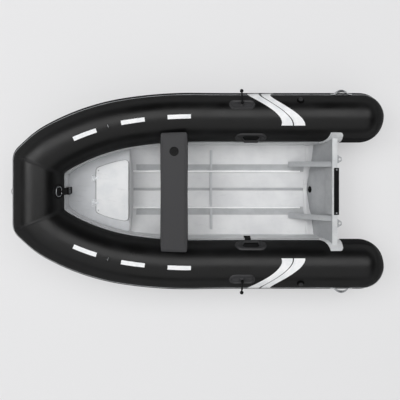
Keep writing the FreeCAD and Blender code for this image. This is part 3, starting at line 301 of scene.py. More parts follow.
@dataclass(frozen=True)
class PowderCoat(Finish):
    """Baked powder paint on aluminium plate: orange peel and long grey scuffs."""

    peel_mm: float = 6.0
    scuff: str = "#9FA1A4"
    scuff_share: float = 0.35

    def relief(self, tree: Tree, where: Socket) -> Socket:
        """Orange peel: rounded cells the size of peel_mm, softened by a finer noise.

        Args:
            tree: The node tree.
            where: The coordinates.

        Returns:
            The height's socket.
        """
        peel = add_node(tree, "TexVoronoi",
                        {"feature": "SMOOTH_F1", "Scale": per_metre(self.peel_mm)},
                        {"Vector": where}).outputs[0]
        fine = add_node(tree, "TexNoise", {"Scale": per_metre(self.peel_mm / 2)},
                        {"Vector": where}).outputs[0]
        return add_node(tree, "Math", {"operation": "MULTIPLY_ADD", 1: 0.5},
                        {0: fine, 2: peel}).outputs[0]

    def mark(self, tree: Tree, where: Socket, colour: Socket) -> Socket:
        """Long faint scuffs: noise drawn out along the boat, kept only at its peaks.

        Args:
            tree: The node tree.
            where: The coordinates.
            colour: The colour so far.

        Returns:
            The marked colour.
        """
        drawn = add_node(tree, "Mapping", {"Scale": (0.22, 1.0, 1.0)}, {"Vector": where})
        streaks = {"Scale": per_metre(26.0), "Detail": 5.0, "Roughness": 0.62}
        return self.stained(tree, drawn.outputs[0], colour, self.scuff, streaks,
                            (0.56, 0.74, self.scuff_share))


@dataclass(frozen=True)
class MouldedPlastic(Finish):
    """Injection moulded plastic or rubber with a spark-eroded grain."""

    grain_mm: float = 3.0

    def relief(self, tree: Tree, where: Socket) -> Socket:
        """Fine rounded pits, as the grain of the mould leaves them.

        Args:
            tree: The node tree.
            where: The coordinates.

        Returns:
            The height's socket.
        """
        return add_node(tree, "TexVoronoi",
                        {"feature": "F1", "Scale": per_metre(self.grain_mm)},
                        {"Vector": where}).outputs[0]


@dataclass(frozen=True)
class SatinSteel(Finish):
    """Drawn or rolled metal, brushed along one direction and then tumbled."""

    metallic: float = 1.0
    brush_mm: float = 1.2

    def relief(self, tree: Tree, where: Socket) -> Socket:
        """Short scratches: noise drawn out twelve times along the piece.

        Args:
            tree: The node tree.
            where: The coordinates.

        Returns:
            The height's socket.
        """
        drawn = add_node(tree, "Mapping", {"Scale": (0.08, 1.0, 1.0)}, {"Vector": where})
        return add_node(tree, "TexNoise",
                        {"Scale": per_metre(self.brush_mm * 2), "Detail": 3.0},
                        {"Vector": drawn.outputs[0]}).outputs[0]


@dataclass(frozen=True)
class Webbing(Finish):
    """Woven polyester strap: a herringbone of flat yarns, matt with a low sheen."""

    yarn_mm: float = 4.0
    place: Place = Place.CLOTH

    def relief(self, tree: Tree, where: Socket) -> Socket:
        """Diagonal yarns whose slope is turned round across the strap's middle.

        Args:
            tree: The node tree.
            where: The coordinates.

        Returns:
            The height's socket.
        """
        rib = add_node(tree, "TexWave",
                       {"bands_direction": "DIAGONAL", "Scale": bands_per_metre(self.yarn_mm),
                        "Distortion": 0.3}, {"Vector": where}).outputs[1]
        cross = add_node(tree, "TexWave",
                         {"bands_direction": "X", "Scale": bands_per_metre(self.yarn_mm / 2)},
                         {"Vector": where}).outputs[1]
        return add_node(tree, "Math", {"operation": "MULTIPLY_ADD", 1: 0.5},
                        {0: cross, 2: rib}).outputs[0]

    def shine(self, tree: Tree, shader: bpy.types.Node) -> None:
        """Fibres give a weak sheen at grazing angles."""
        shader.inputs["Sheen Weight"].default_value = 0.05
        shader.inputs["Sheen Roughness"].default_value = 0.5


# Polyester cloth with a calendered coating: near black, satin, soft long lights.
TUBE_FABRIC = CoatedFabric("polyester_cloth_calendered_black", "#090909", "#0D0D0E",
                           0.33, patch_mm=240.0, specular=0.33, relief_mm=0.09, dull=0.5)
# The same cloth cut into tape and glued on: a shade lighter, so that the laps show.
SEAM_TAPE = CoatedFabric("lap_tape_glued_black", "#121213", "#181819", 0.44,
                         patch_mm=90.0, specular=0.3, relief_mm=0.12, dull=0.5)
# White coated cloth: bright and matt, with greyer patches where it has been handled.
WHITE_PATCH = CoatedFabric("coated_cloth_printed_white", "#F4F4F5", "#E6E8EA", 0.5,
                           patch_mm=70.0, specular=0.3, relief_mm=0.1)
# Extruded rubber: the blackest and dullest thing on the boat, with hardly a light on it.
# the same black laid in the carry handles' wells is painted shade
STRAKE_RUBBER_AND_PAINTED_SHADE = MouldedPlastic("epdm_rubber_extruded_black", "#0C0C0D", "#141415", 0.58,
                               specular=0.2, relief_mm=0.15, dull=0.4)
# Sulphur-cured rubber round the valves: dead black, no lights; painted shadow under the
# handles.
VALVE_RUBBER_AND_PAINTED_SHADOW = MouldedPlastic("sbr_rubber_pressed_dead_black", "#050505", "#090909", 0.72,
                              specular=0.06, relief_mm=0.1, dull=0.25)
# The piping is extruded rubber, its pale grey a painted highlight: a thin pale line round the
# boat.
PIPING_PAINTED_HIGHLIGHT = MouldedPlastic("epdm_rubber_extruded_grey", "#A6A8AA", "#8C8E90", 0.5,
                             specular=0.3, relief_mm=0.1)
# Powder baked on welded plate: pale, half matt, faintly pebbled, scuffed by feet.
HULL_PAINT = PowderCoat("powder_coat_light_grey_on_aluminium", "#D8D9DA", "#CFD0D2", 0.42,
                        patch_mm=210.0, relief_mm=0.16, scuff_share=0.14)
# The pressed ridges are whiter than the floor, a painted highlight: white lines along it.
RIDGE_PAINTED_HIGHLIGHT = PowderCoat("powder_coat_white_grey_on_pressing", "#F8F8F9", "#F0F1F2", 0.4,
                         patch_mm=140.0, relief_mm=0.12, scuff_share=0.2)
# Gritty powder on the steep facets beside the ridges: grey bands along the floor, painted
# shade.
FACET_PAINTED_SHADE = PowderCoat("powder_coat_gritty_grey_on_aluminium", "#B4B6B8", "#ABADAF", 0.6,
                        patch_mm=100.0, relief_mm=0.35, peel_mm=3.0, scuff_share=0.1)
# A coarse powder for standing on: duller and greyer than the hull's.
DECK_PAINT = PowderCoat("powder_coat_textured_grey_on_aluminium", "#C0C2C5", "#B9BBBE",
                        0.55, patch_mm=120.0, relief_mm=0.35, peel_mm=4.0)
# Non-slip powder on the lid: the palest plate, fine grain, no gloss.
LID_PAINT = PowderCoat("powder_coat_pale_grey_non_slip", "#DCDDDE", "#D4D6D8", 0.5,
                       patch_mm=120.0, relief_mm=0.3, peel_mm=5.0, scuff_share=0.2)
# Darker powder on the thick transom plate: mid grey with rubbed places.
# the same grey on the keel's top and the gunwale rail is painted shade
TRANSOM_PAINT_AND_PAINTED_SHADE = PowderCoat("powder_coat_mid_grey_on_aluminium", "#ABADAF", "#A1A3A6", 0.45,
                           patch_mm=150.0, relief_mm=0.18, scuff="#7F8184")
# Thin smooth powder on extrusions: a little more gloss, so that edges catch the light.
CAP_PAINT = PowderCoat("powder_coat_grey_on_extrusion", "#D8DADB", "#CCCED0", 0.38,
                       patch_mm=90.0, relief_mm=0.13)
# Injection moulded plastic: black with the mould's grain and a dull gleam.
BLACK_PLASTIC = MouldedPlastic("abs_moulded_black", "#0B0B0C", "#111112", 0.5,
                               relief_mm=0.18, specular=0.16, dull=0.25)
# Soft moulded rubber: charcoal, duller than the plastic and lighter than the tubes.
SOFT_RUBBER = MouldedPlastic("pvc_moulded_soft_charcoal", "#29292A", "#323234", 0.45,
                             relief_mm=0.2, specular=0.4, dull=0.3)
# Woven polyester webbing: black, matt, ribbed, with a fibre sheen at its edges.
WEBBING = Webbing("polyester_webbing_woven_black", "#0B0B0C", "#111112", 0.75,
                  patch_mm=30.0, relief_mm=0.4, specular=0.12, dull=0.2)
# Drop-stitch cloth: charcoal, matt, even, the seat's colour.
SEAT_FABRIC = CoatedFabric("drop_stitch_cloth_coated_charcoal", "#303032", "#363638", 0.55,
                           patch_mm=110.0, specular=0.35, relief_mm=0.12)
# Stainless sheet pressed into hinge leaves and blasted: pale grey, no mirror lights.
PRESSED_STEEL = SatinSteel("stainless_steel_pressed_blasted", "#DCDEE0", "#CDCFD2", 0.6,
                           patch_mm=20.0, relief_mm=0.05)
# Stainless steel drawn and tumbled: grey metal with soft bright edges.
STEEL = SatinSteel("stainless_steel_drawn_satin", "#B4B6B8", "#A2A4A7", 0.3,
                   patch_mm=20.0, relief_mm=0.04)


# ---- meshes from arrays ------------------------------------------------------------------
def linked(name: str, data: bpy.types.ID) -> Piece:
    """A new object with its data, in the scene.

    Args:
        name: The object's name.
        data: Its mesh, lamp or camera.

    Returns:
        The new object.
    """
    piece = bpy.data.objects.new(name, data)
    bpy.context.scene.collection.objects.link(piece)
    return piece


def dress(piece: Piece, finish: Finish, body: str) -> None:
    """Gives a piece its finish, smooth faces and the body that it rides on.

    Args:
        piece: The piece.
        finish: What it is made of.
        body: The CAD body that it rides on.
    """
    mesh = piece.data
    finish.coat(mesh)
    mesh.polygons.foreach_set("use_smooth", np.ones(len(mesh.polygons), bool))
    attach(piece, body)
    REPORT.info("%s: %d faces", piece.name, len(mesh.polygons))


def add_object(mesh: bpy.types.Mesh, finish: Finish, crease_deg: float = 35.0,
               body: str = HULL) -> Piece:
    """Puts a mesh into the scene as a finished piece.

    Args:
        mesh: The mesh, in place in the row frame.
        finish: What it is made of.
        crease_deg: Edges sharper than this stay sharp.
        body: The CAD body that it rides on.

    Returns:
        The new object.
    """
    piece = linked(mesh.name, mesh)
    dress(piece, finish, body)
    mesh.set_sharp_from_angle(angle=math.radians(crease_deg))
    return piece


def lattice(points: np.ndarray, wrap: bool = False) -> np.ndarray:
    """Quads of a grid of points: corner (i, j) joins (i, j+1), (i+1, j+1) and (i+1, j).

    Args:
        points: Rows by columns by 3.
        wrap: Whether the last column joins the first.

    Returns:
        Vertex numbers, faces by 4.
    """
    rows, cols = points.shape[:2]
    i = np.arange(rows - 1)[:, None]
    j = np.arange(cols if wrap else cols - 1)[None, :]
    k = (j + 1) % cols
    quads = np.stack([i * cols + j, i * cols + k, (i + 1) * cols + k, (i + 1) * cols + j], -1)
    return quads.reshape(-1, 4)


def grid_mesh(name: str, points: np.ndarray, wrap: bool = False, closed: bool = False,
              uv: np.ndarray | None = None) -> bpy.types.Mesh:
    """A mesh of one grid, with its ends closed if asked, its faces outwards.

    Args:
        name: The mesh's name.
        points: Rows by columns by 3, in metres.
        wrap: Whether the columns run round and join.
        closed: Whether the first and last rows get an end face.
        uv: Rows by columns (one column more where it wraps) by 2, in metres.

    Returns:
        The mesh.
    """
    rows, cols = points.shape[:2]
    quads = lattice(points, wrap)
    faces = quads.tolist()
    if closed:
        faces.append(list(range(cols))[::-1])
        faces.append(list(range((rows - 1) * cols, rows * cols)))
    mesh = bpy.data.meshes.new(name)
    mesh.from_pydata(points.reshape(-1, 3).tolist(), [], faces)
    if uv is not None:
        loops = np.zeros((len(mesh.loops), 2), np.float32)
        corners = np.stack([uv[:-1, :-1], uv[:-1, 1:], uv[1:, 1:], uv[1:, :-1]], 2)
        loops[:quads.size] = corners.reshape(-1, 2)
        layer = mesh.uv_layers.new(name="Cloth")
        layer.data.foreach_set("uv", loops.ravel())
    tidy = bmesh.new()
    tidy.from_mesh(mesh)
    bmesh.ops.remove_doubles(tidy, verts=tidy.verts, dist=1e-6)
    bmesh.ops.recalc_face_normals(tidy, faces=tidy.faces)
    tidy.to_mesh(mesh)
    tidy.free()
    return mesh


def crossed(rows: np.ndarray, cols: np.ndarray) -> list[np.ndarray]:
    """Each row's value and each column's value at every place of their grid."""
    return np.meshgrid(rows, cols, indexing="ij")


def unit(vectors: np.ndarray) -> np.ndarray:
    """Vectors divided by their own lengths."""
    return vectors / np.linalg.norm(vectors, axis=-1, keepdims=True)


def turned(vectors: np.ndarray, axis: np.ndarray, angle: np.ndarray) -> np.ndarray:
    """Vectors turned about an axis through the origin, by Rodrigues' formula.

    The part along the axis stays, and the rest goes round by cosine and sine of the angle.

    Args:
        vectors: One vector, or as many as there are angles.
        axis: The axis, a unit vector.
        angle: Angles in radians, shaped (..., 1).

    Returns:
        The turned vectors.
    """
    along = (vectors @ axis)[..., None] * axis
    return vectors * np.cos(angle) + np.cross(axis, vectors) * np.sin(angle) \
        + along * (1 - np.cos(angle))


def square_to(axis: np.ndarray) -> tuple[np.ndarray, np.ndarray, np.ndarray]:
    """The axis as a unit vector, and two unit vectors square to it and to each other.

    Args:
        axis: The axis, of any length.

    Returns:
        The axis and the two others.
    """
    axis = unit(np.asarray(axis, float))
    helper = AHEAD if abs(axis[0]) < 0.9 else PORTWARD
    first = unit(np.cross(axis, helper))
    return axis, first, np.cross(axis, first)


def uv_map(rows: np.ndarray, cols: np.ndarray) -> np.ndarray:
    """UV map of a grid from one distance that varies along it and one that varies across."""
    return np.stack(np.broadcast_arrays(rows, cols), -1)


def wrapped_uv(along: np.ndarray, round_: np.ndarray) -> np.ndarray:
    """UV map of a grid that wraps: distances along and round, the first column repeated.

    Args:
        along: Distances along, rows by columns.
        round_: Distances round, one more than the columns.

    Returns:
        Rows by columns and one by 2.
    """
    return uv_map(np.concatenate([along, along[:, :1]], 1), round_)


def lengths_along(line: np.ndarray) -> np.ndarray:
    """Distance of each point of a line from its start, along it."""
    return np.concatenate([[0], np.cumsum(np.linalg.norm(np.diff(line, axis=0), axis=1))])


# ---- the tube's line ---------------------------------------------------------------------
class Toward(Enum):
    """Which way a run of the tube bends."""

    STRAIGHT = 0
    INBOARD = 1
    UP = 2


@dataclass(frozen=True)
class Run:
    """One straight run (size is its length) or bend (size is its radius) of the tube."""

    toward: Toward
    size: float
    degrees: float = 0.0

    def length(self) -> float:
        """Length along the centreline."""
        return self.size if self.toward is Toward.STRAIGHT \
            else self.size * math.radians(self.degrees)


@dataclass
class Frames:
    """Places on the tube's centreline with their forward, inboard and up directions."""

    origin: np.ndarray
    forward: np.ndarray
    inboard: np.ndarray
    up: np.ndarray

    def polar(self, radius: np.ndarray | float, degrees: np.ndarray) -> np.ndarray:
        """Points at a radius and an angle that grows from inboard over the top.

        Args:
            radius: Distances from the centreline.
            degrees: Angles round it.

        Returns:
            The points.
        """
        turn = np.radians(degrees)[..., None]
        return self.origin + (self.inboard * np.cos(turn) + self.up * np.sin(turn)) \
            * np.asarray(radius, float)[..., None]

    def at(self, inboard: np.ndarray, up: np.ndarray) -> np.ndarray:
        """Points given by their distances inboard and up."""
        return self.origin + self.inboard * inboard[..., None] + self.up * up[..., None]


@dataclass
class TubeLine:
    """Centreline of the port tube, from the round stern to the bow mitre.

    The tube runs straight, lifts in one long sheer bend, turns inboard in three easy bends
    and ends in a short stub whose end is cut at the mitre plane.
    """

    radius: float = 0.196
    straight: float = 1.029
    sheer: tuple[float, float] = (3.442, 5.0)
    bends: tuple[tuple[float, float], ...] = ((3.265, 9.9), (1.660, 19.9), (0.560, 14.0))
    stub: float = 0.067
    corner_cut: float = 0.013
    corner_reach: float = 0.061
    corner_from: float = 0.35
    search: float = 0.25
    halvings: int = 36

    def __post_init__(self) -> None:
        low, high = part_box("tube_port")
        self.stern = np.array([low.x + self.radius, high.y - self.radius,
                               low.z + self.radius])
        runs = [Run(Toward.STRAIGHT, self.straight), Run(Toward.UP, *self.sheer)]
        runs += [Run(Toward.INBOARD, *bend) for bend in self.bends]
        runs.append(Run(Toward.STRAIGHT, self.stub))
        self.pieces = []
        at, forward = self.stern, AHEAD
        inboard, done = -PORTWARD, 0.0
        for run in runs:
            self.pieces.append((done, run, at, forward, inboard))
            end = self._along(run, at, forward, inboard, np.array(run.length()))
            at, forward, inboard = end.origin, end.forward, end.inboard
            done += run.length()
        self.length = done
        self.mitre = Frames(at, forward, inboard, np.cross(inboard, forward))
        self.mitre_normal = unit(forward - PORTWARD)

    @staticmethod
    def _along(run: Run, at: np.ndarray, forward: np.ndarray, inboard: np.ndarray,
               gone: np.ndarray) -> Frames:
        """Frames of one run at the distances gone from its start.

        Args:
            run: The straight run or the bend.
            at: Where it starts.
            forward: Forward there.
            inboard: Inboard there.
            gone: Distances from its start.

        Returns:
            The frames.
        """
        up = np.cross(inboard, forward)
        if run.toward is Toward.STRAIGHT:
            shape = gone.shape + (3,)
            return Frames(at + forward * gone[..., None], np.broadcast_to(forward, shape),
                          np.broadcast_to(inboard, shape), np.broadcast_to(up, shape))
        side = inboard if run.toward is Toward.INBOARD else up
        axis, centre = np.cross(forward, side), at + side * run.size
        angle = (gone / run.size)[..., None]
        new_forward, new_inboard = turned(forward, axis, angle), turned(inboard, axis, angle)
        return Frames(centre + turned(at - centre, axis, angle), new_forward, new_inboard,
                      np.cross(new_inboard, new_forward))

    def frames(self, gone: np.ndarray) -> Frames:
        """Frames at distances from the stern dome's centre along the centreline.

        Args:
            gone: Distances in metres, of any shape; past the end the stub goes straight on.

        Returns:
            Frames of the same shape.
        """
        gone = np.asarray(gone, float)
        parts = [np.zeros(gone.shape + (3,)) for _ in range(4)]
        for number, (start, run, at, forward, inboard) in enumerate(self.pieces):
            here = gone >= start if number else np.ones(gone.shape, bool)
            some = self._along(run, at, forward, inboard, gone[here] - start)
            for part, values in zip(parts, (some.origin, some.forward, some.inboard, some.up)):
                part[here] = values
        return Frames(*parts)

    def reach(self, degrees: np.ndarray, radius: float | np.ndarray) -> np.ndarray:
        """Where the line at each angle round the tube meets the mitre plane.

        The signed distance to the plane grows along the line, so halving an interval finds
        its zero for all angles at once.

        Args:
            degrees: Angles round the tube.
            radius: Distance from the centreline.

        Returns:
            Distances along the centreline.
        """
        low = np.full(degrees.shape, self.length - self.search)
        high = np.full(degrees.shape, self.length + self.search)
        for _ in range(self.halvings):
            middle = (low + high) / 2
            offset = self.frames(middle).polar(radius, degrees) - self.mitre.origin
            short = offset @ self.mitre_normal < 0
            low, high = np.where(short, middle, low), np.where(short, high, middle)
        return low

    def bow(self, y: np.ndarray) -> Frames:
        """Frames of the straight bow tube at half breadths y, forward being to starboard.

        Args:
            y: Half breadths.

        Returns:
            Frames of the same shape.
        """
        y = np.asarray(y, float)
        shape = y.shape + (3,)
        origin = np.broadcast_to(self.mitre.origin, shape).copy()
        origin[..., 1] = y
        forward = -PORTWARD
        up = self.mitre.up
        inboard = np.cross(up, -forward)
        return Frames(origin, np.broadcast_to(forward, shape),
                      np.broadcast_to(inboard, shape), np.broadcast_to(up, shape))

    def bow_reach(self, degrees: np.ndarray, radius: float | np.ndarray) -> np.ndarray:
        """Half breadth at which each line of the bow tube meets the mitre plane.

        Args:
            degrees: Angles round the tube.
            radius: Distances from its centreline.

        Returns:
            Half breadths.
        """
        middle = self.bow(np.zeros(degrees.shape))
        ray = middle.polar(radius, degrees) - middle.origin
        return self.mitre.origin[1] - (ray @ self.mitre_normal) / self.mitre_normal[1]

    def to_mitre(self, last: float, degrees: np.ndarray, radius: float | np.ndarray,
                 count: int) -> np.ndarray:
        """Distances in even rows from last, left out, to the mitre plane on each line.

        Args:
            last: Where the rows before them end.
            degrees: Angles round the tube.
            radius: Distance from the centreline.
            count: How many rows.

        Returns:
            Rows by angles.
        """
        share = np.linspace(0, 1, count + 1)[1:, None]
        return last + share * (self.reach(degrees, radius) - last)[None, :]

    def across_bow(self, degrees: np.ndarray, radius: float | np.ndarray,
                   count: int = 73) -> tuple[np.ndarray, np.ndarray]:
        """Even rows on the bow tube from mitre plane to mitre plane.

        Args:
            degrees: Angles round the tube.
            radius: Distance from the centreline.
            count: How many rows.

        Returns:
            Half breadths, and the points at them.
        """
        half = np.linspace(-1, 1, count)[:, None] * self.bow_reach(degrees, radius)[None, :]
        return half, self.bow(half).polar(radius, degrees)

    def eased(self, points: np.ndarray) -> np.ndarray:
        """Points of the tubes' outside with the sharp corner at each mitre drawn in.

        Inflated cloth rounds the corner.  The draw is a parabola of the distance from the
        mitre plane, so that both straight edges run into it smoothly; it is full at the
        outermost line and fades to nothing toward the crown.

        Args:
            points: Points on either side of the boat, any shape by 3.

        Returns:
            The moved points.
        """
        side = np.where(points[..., 1:2] < 0, -1.0, 1.0) * [0, 1, 0] + [1, 0, 1]
        offset = points * side - self.mitre.origin
        outward = unit(np.cross(self.mitre_normal, self.mitre.up))
        outward = outward * np.sign(outward[1])
        near = np.clip(1 - np.abs(offset @ self.mitre_normal) / self.corner_reach, 0, 1)
        share = np.clip((offset @ outward / self.radius - self.corner_from)
                        / (1 - self.corner_from), 0, 1)
        pull = self.corner_cut * near ** 2 * share ** 2 * (3 - 2 * share)
        return points - outward * side * pull[..., None]

    def nearest(self, x: float) -> float:
        """Distance along the centreline at which its X is x."""
        gone = np.linspace(0, self.length, 4000)
        return float(np.interp(x, self.frames(gone).origin[:, 0], gone))


LINE = TubeLine()


class Side(Enum):
    """Port or starboard."""

    PORT = 1
    STARBOARD = -1

    def of(self, points: np.ndarray) -> np.ndarray:
        """Port points put on this side: their Y times the side's sign."""
        return points * np.array([1.0, self.value, 1.0])

    @property
    def word(self) -> str:
        """The side's name in small letters."""
        return self.name.lower()


def tube_patch(name: str, gone: np.ndarray, degrees: np.ndarray, rise: float,
               side: Side, sink: float = 0.0006) -> bpy.types.Mesh:
    """A thin patch that lies on the side tube.

    The top is the grid of (gone, degrees) on the tube's skin raised by rise; its border is
    repeated one step lower, just inside the skin, so that the patch has closed sides.

    Args:
        name: The mesh's name.
        gone: Distances along the tube, rows by columns.
        degrees: Angles round the tube, rows by columns.
        rise: Height of the top over the skin.
        side: Which tube.
        sink: How far the hidden border lies under the skin.

    Returns:
        The mesh, with a UV map in metres.
    """
    gone, degrees = np.pad(gone, 1, mode="edge"), np.pad(degrees, 1, mode="edge")
    inner = np.zeros(gone.shape, bool)
    inner[1:-1, 1:-1] = True
    radius = LINE.radius + np.where(inner, rise, -sink)
    points = side.of(LINE.frames(gone).polar(radius, degrees))
    uv = np.stack([gone, np.radians(degrees) * LINE.radius], -1)
    return grid_mesh(name, points, uv=uv)


def joined(name: str, meshes: list[bpy.types.Mesh]) -> bpy.types.Mesh:
    """One mesh out of several, which are removed.

    Args:
        name: The new mesh's name.
        meshes: The meshes to gather.

    Returns:
        The gathered mesh.
    """
    work = bmesh.new()
    for mesh in meshes:
        work.from_mesh(mesh)
        bpy.data.meshes.remove(mesh)
    whole = bpy.data.meshes.new(name)
    work.to_mesh(whole)
    work.free()
    return whole


def merged_copy(node: str, name: str,
                change: Callable[[bmesh.types.BMesh], None] | None = None) -> bpy.types.Mesh:
    """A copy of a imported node's mesh with its doubled corners merged.

    Args:
        node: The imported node.
        name: The copy's name.
        change: What else is done to the merged copy.

    Returns:
        The copy.
    """
    mesh = frame["nodes"][node].data.copy()
    mesh.name = name
    work = bmesh.new()
    work.from_mesh(mesh)
    bmesh.ops.remove_doubles(work, verts=work.verts, dist=2e-5)
    if change:
        change(work)
    work.to_mesh(mesh)
    work.free()
    return mesh


def rounded_line(corners: np.ndarray, radii: list[float], steps: int = 8,
                 closed: bool = False) -> np.ndarray:
    """A line through corners with a circular arc at each.

    Each arc's ends lie radius / tan(half angle) from its corner, its centre on the bisector,
    and its points turn evenly from one end to the other.

    Args:
        corners: Corner points.
        radii: An arc radius for each corner; ends of an open line ignore theirs.
        steps: Points on each arc.
        closed: Whether the line closes on itself.

    Returns:
        The points of the line.
    """
    count, parts = len(corners), []
    share = np.linspace(0, 1, steps)[:, None]
    for k, (corner, radius) in enumerate(zip(corners, radii)):
        if not closed and k in (0, count - 1) or radius <= 0:
            parts.append(corner[None])
            continue
        back = unit(corners[k - 1] - corner)
        ahead = unit(corners[(k + 1) % count] - corner)
        half = math.acos(max(-1.0, min(1.0, float(back @ ahead)))) / 2
        centre = corner + unit(back + ahead) * radius / math.sin(half)
        first = corner + back * radius / math.tan(half) - centre
        last = corner + ahead * radius / math.tan(half) - centre
        turn = math.pi - 2 * half
        parts.append(centre + (np.sin((1 - share) * turn) * first
                               + np.sin(share * turn) * last) / math.sin(turn))
    return np.concatenate(parts)


def evened(line: np.ndarray, step: float, closed: bool = False) -> np.ndarray:
    """The same line, open or closed, with points at even distances of about a step.

    Args:
        line: Points of the line.
        step: The distance wanted.
        closed: Whether it closes on itself.

    Returns:
        The new points.
    """
    if closed:
        return evened(np.concatenate([line, line[:1]]), step)[:-1]
    gone = lengths_along(line)
    at = np.linspace(0, gone[-1], max(2, int(round(gone[-1] / step)) + 1))
    return np.stack([np.interp(at, gone, line[:, k]) for k in range(3)], -1)


def oblong(width: float, height: float, corner: float, steps: int = 5) -> np.ndarray:
    """Closed section of a strap or bar: a rectangle with round corners, about its middle.

    Args:
        width: Size along the first coordinate.
        height: Size along the second.
        corner: Radius of its corners.
        steps: Points on each corner.

    Returns:
        Points by 2.
    """
    w, h = width / 2, height / 2
    corners = np.array([[-w, -h, 0], [w, -h, 0], [w, h, 0], [-w, h, 0]])
    return rounded_line(corners, [corner] * 4, steps, closed=True)[:, :2]


def swept(name: str, line: np.ndarray, side: np.ndarray, section: np.ndarray,
          swell: np.ndarray | None = None, ring: bool = False) -> bpy.types.Mesh:
    """Carries a section along a line that lies square to one direction.

    The section's first coordinate lies along that direction and its second along the cross
    product of it and the line's own direction.

    Args:
        name: The mesh's name.
        line: Points of the line.
        side: The direction that the line is square to, or one for each point.
        section: Closed section, points by 2.
        swell: Scale of the section at each point.
        ring: Whether the line is closed.

    Returns:
        The mesh, with a UV map in metres.
    """
    side = np.broadcast_to(unit(np.asarray(side, float)), line.shape)
    if ring:
        ahead = unit(np.roll(line, -1, axis=0) - np.roll(line, 1, axis=0))
    else:
        ahead = unit(np.gradient(line, axis=0))
    rise = unit(np.cross(side, ahead))
    scale = np.ones(len(line)) if swell is None else swell
    flat = section[None, :, :] * scale[:, None, None]
    points = line[:, None] + side[:, None] * flat[..., :1] + rise[:, None] * flat[..., 1:]
    if ring:
        points = np.concatenate([points, points[:1]])
        line = np.concatenate([line, line[:1]])
    turn = lengths_along(np.concatenate([section, section[:1]]))
    return grid_mesh(name, points, wrap=True, closed=not ring,
                     uv=uv_map(lengths_along(line)[:, None], turn))


def revolved(name: str, base: np.ndarray, axis: np.ndarray, profile: np.ndarray,
             around: int = 40, lobes: int = 0, depth: float = 0.0,
             lobed: slice = slice(0, 0)) -> bpy.types.Mesh:
    """A turned piece: radius and height about an axis, with an optional lobed grip.

    Lobes multiply the radius by 1 - depth times the square of a sine of half the lobe angle.

    Args:
        name: The mesh's name.
        base: The point that heights are measured from.
        axis: The direction of the heights.
        profile: Rows of radius and height.
        around: Points round the axis.
        lobes: How many finger hollows.
        depth: How deep they are, as a share of the radius.
        lobed: Which rows have them.

    Returns:
        The mesh.
    """
    axis, first, second = square_to(axis)
    turn = np.linspace(0, 2 * math.pi, around, endpoint=False)
    radius = np.repeat(profile[:, :1], around, axis=1)
    radius[lobed] *= 1 - depth * np.sin(lobes * turn / 2) ** 2
    ring = np.cos(turn)[:, None] * first + np.sin(turn)[:, None] * second
    points = np.asarray(base) + radius[..., None] * ring + profile[:, None, 1:] * axis
    return grid_mesh(name, points, wrap=True, closed=True)


@dataclass
class Seat:
    """A place on a tube's skin, with the directions along it, out of it and round it."""

    frames: Frames
    degrees: float
    side: Side

    def point(self, along: np.ndarray, round_: np.ndarray, rise: np.ndarray) -> np.ndarray:
        """Points that lie on the skin: distances along and round the tube, and over it.

        Args:
            along: Distances forward.
            round_: Distances round the tube, towards outboard.
            rise: Heights over the skin.

        Returns:
            The points.
        """
        angle = self.degrees + np.degrees(round_ / LINE.radius)
        ray = self.frames.polar(LINE.radius + rise, angle)
        return self.side.of(ray + self.frames.forward * along[..., None])

    def flat(self, along: np.ndarray | float, round_: np.ndarray | float,
             out: np.ndarray | float) -> np.ndarray:
        """Points in the plane that touches the skin here, from numbers or arrays.

        Args:
            along: Distances forward.
            round_: Distances across, towards outboard.
            out: Heights over the skin.

        Returns:
            The points.
        """
        turn = math.radians(self.degrees)
        outward = self.frames.inboard * math.cos(turn) + self.frames.up * math.sin(turn)
        across = -self.frames.inboard * math.sin(turn) + self.frames.up * math.cos(turn)
        return self.side.of(self.frames.origin
                            + outward * np.asarray(LINE.radius + out)[..., None]
                            + across * np.asarray(round_)[..., None]
                            + self.frames.forward * np.asarray(along)[..., None])

    def direction(self, along: float, round_: float, out: float) -> np.ndarray:
        """A direction given in this place's own axes."""
        return unit(self.flat(along, round_, out) - self.flat(0, 0, 0))


def flat_pad(rise: float, shoulder: float) -> np.ndarray:
    """Profile of a thin flat pad: its height, and what is left of it near the edge."""
    return np.array([[0.02, rise], [0.8, rise], [0.95, shoulder], [1.0, 0.0001]])


def moulded_pad(name: str, seat: Seat, length: float, width: float,
                profile: np.ndarray, around: int = 56) -> bpy.types.Mesh:
    """A pad with round ends that lies on a tube's skin.

    Each ring keeps the same distance inside the outline, because it is measured out from the
    pad's middle line; the profile gives that distance as a share, and the height.

    Args:
        name: The mesh's name.
        seat: Where its middle is.
        length: Length along the tube.
        width: Width round the tube; equal to the length for a round pad.
        profile: Rows of share (0 at the middle line, 1 at the edge) and height.
        around: Points round the outline.

    Returns:
        The mesh.
    """
    half = width / 2
    straight = max(length / 2 - half, 0.0)
    turn = np.linspace(0, 2 * math.pi, around, endpoint=False) + math.pi / around
    spine = np.where(np.cos(turn) > 0, straight, -straight)
    share, rise = profile[:, :1], profile[:, 1:]
    along = spine[None, :] + share * half * np.cos(turn)[None, :]
    round_ = share * half * np.sin(turn)[None, :]
    points = seat.point(along, round_, rise)
    uv_turn = np.linspace(0, 2 * (length + width), around + 1)
    return grid_mesh(name, points, wrap=True, closed=True,
                     uv=uv_map(share * half, uv_turn))


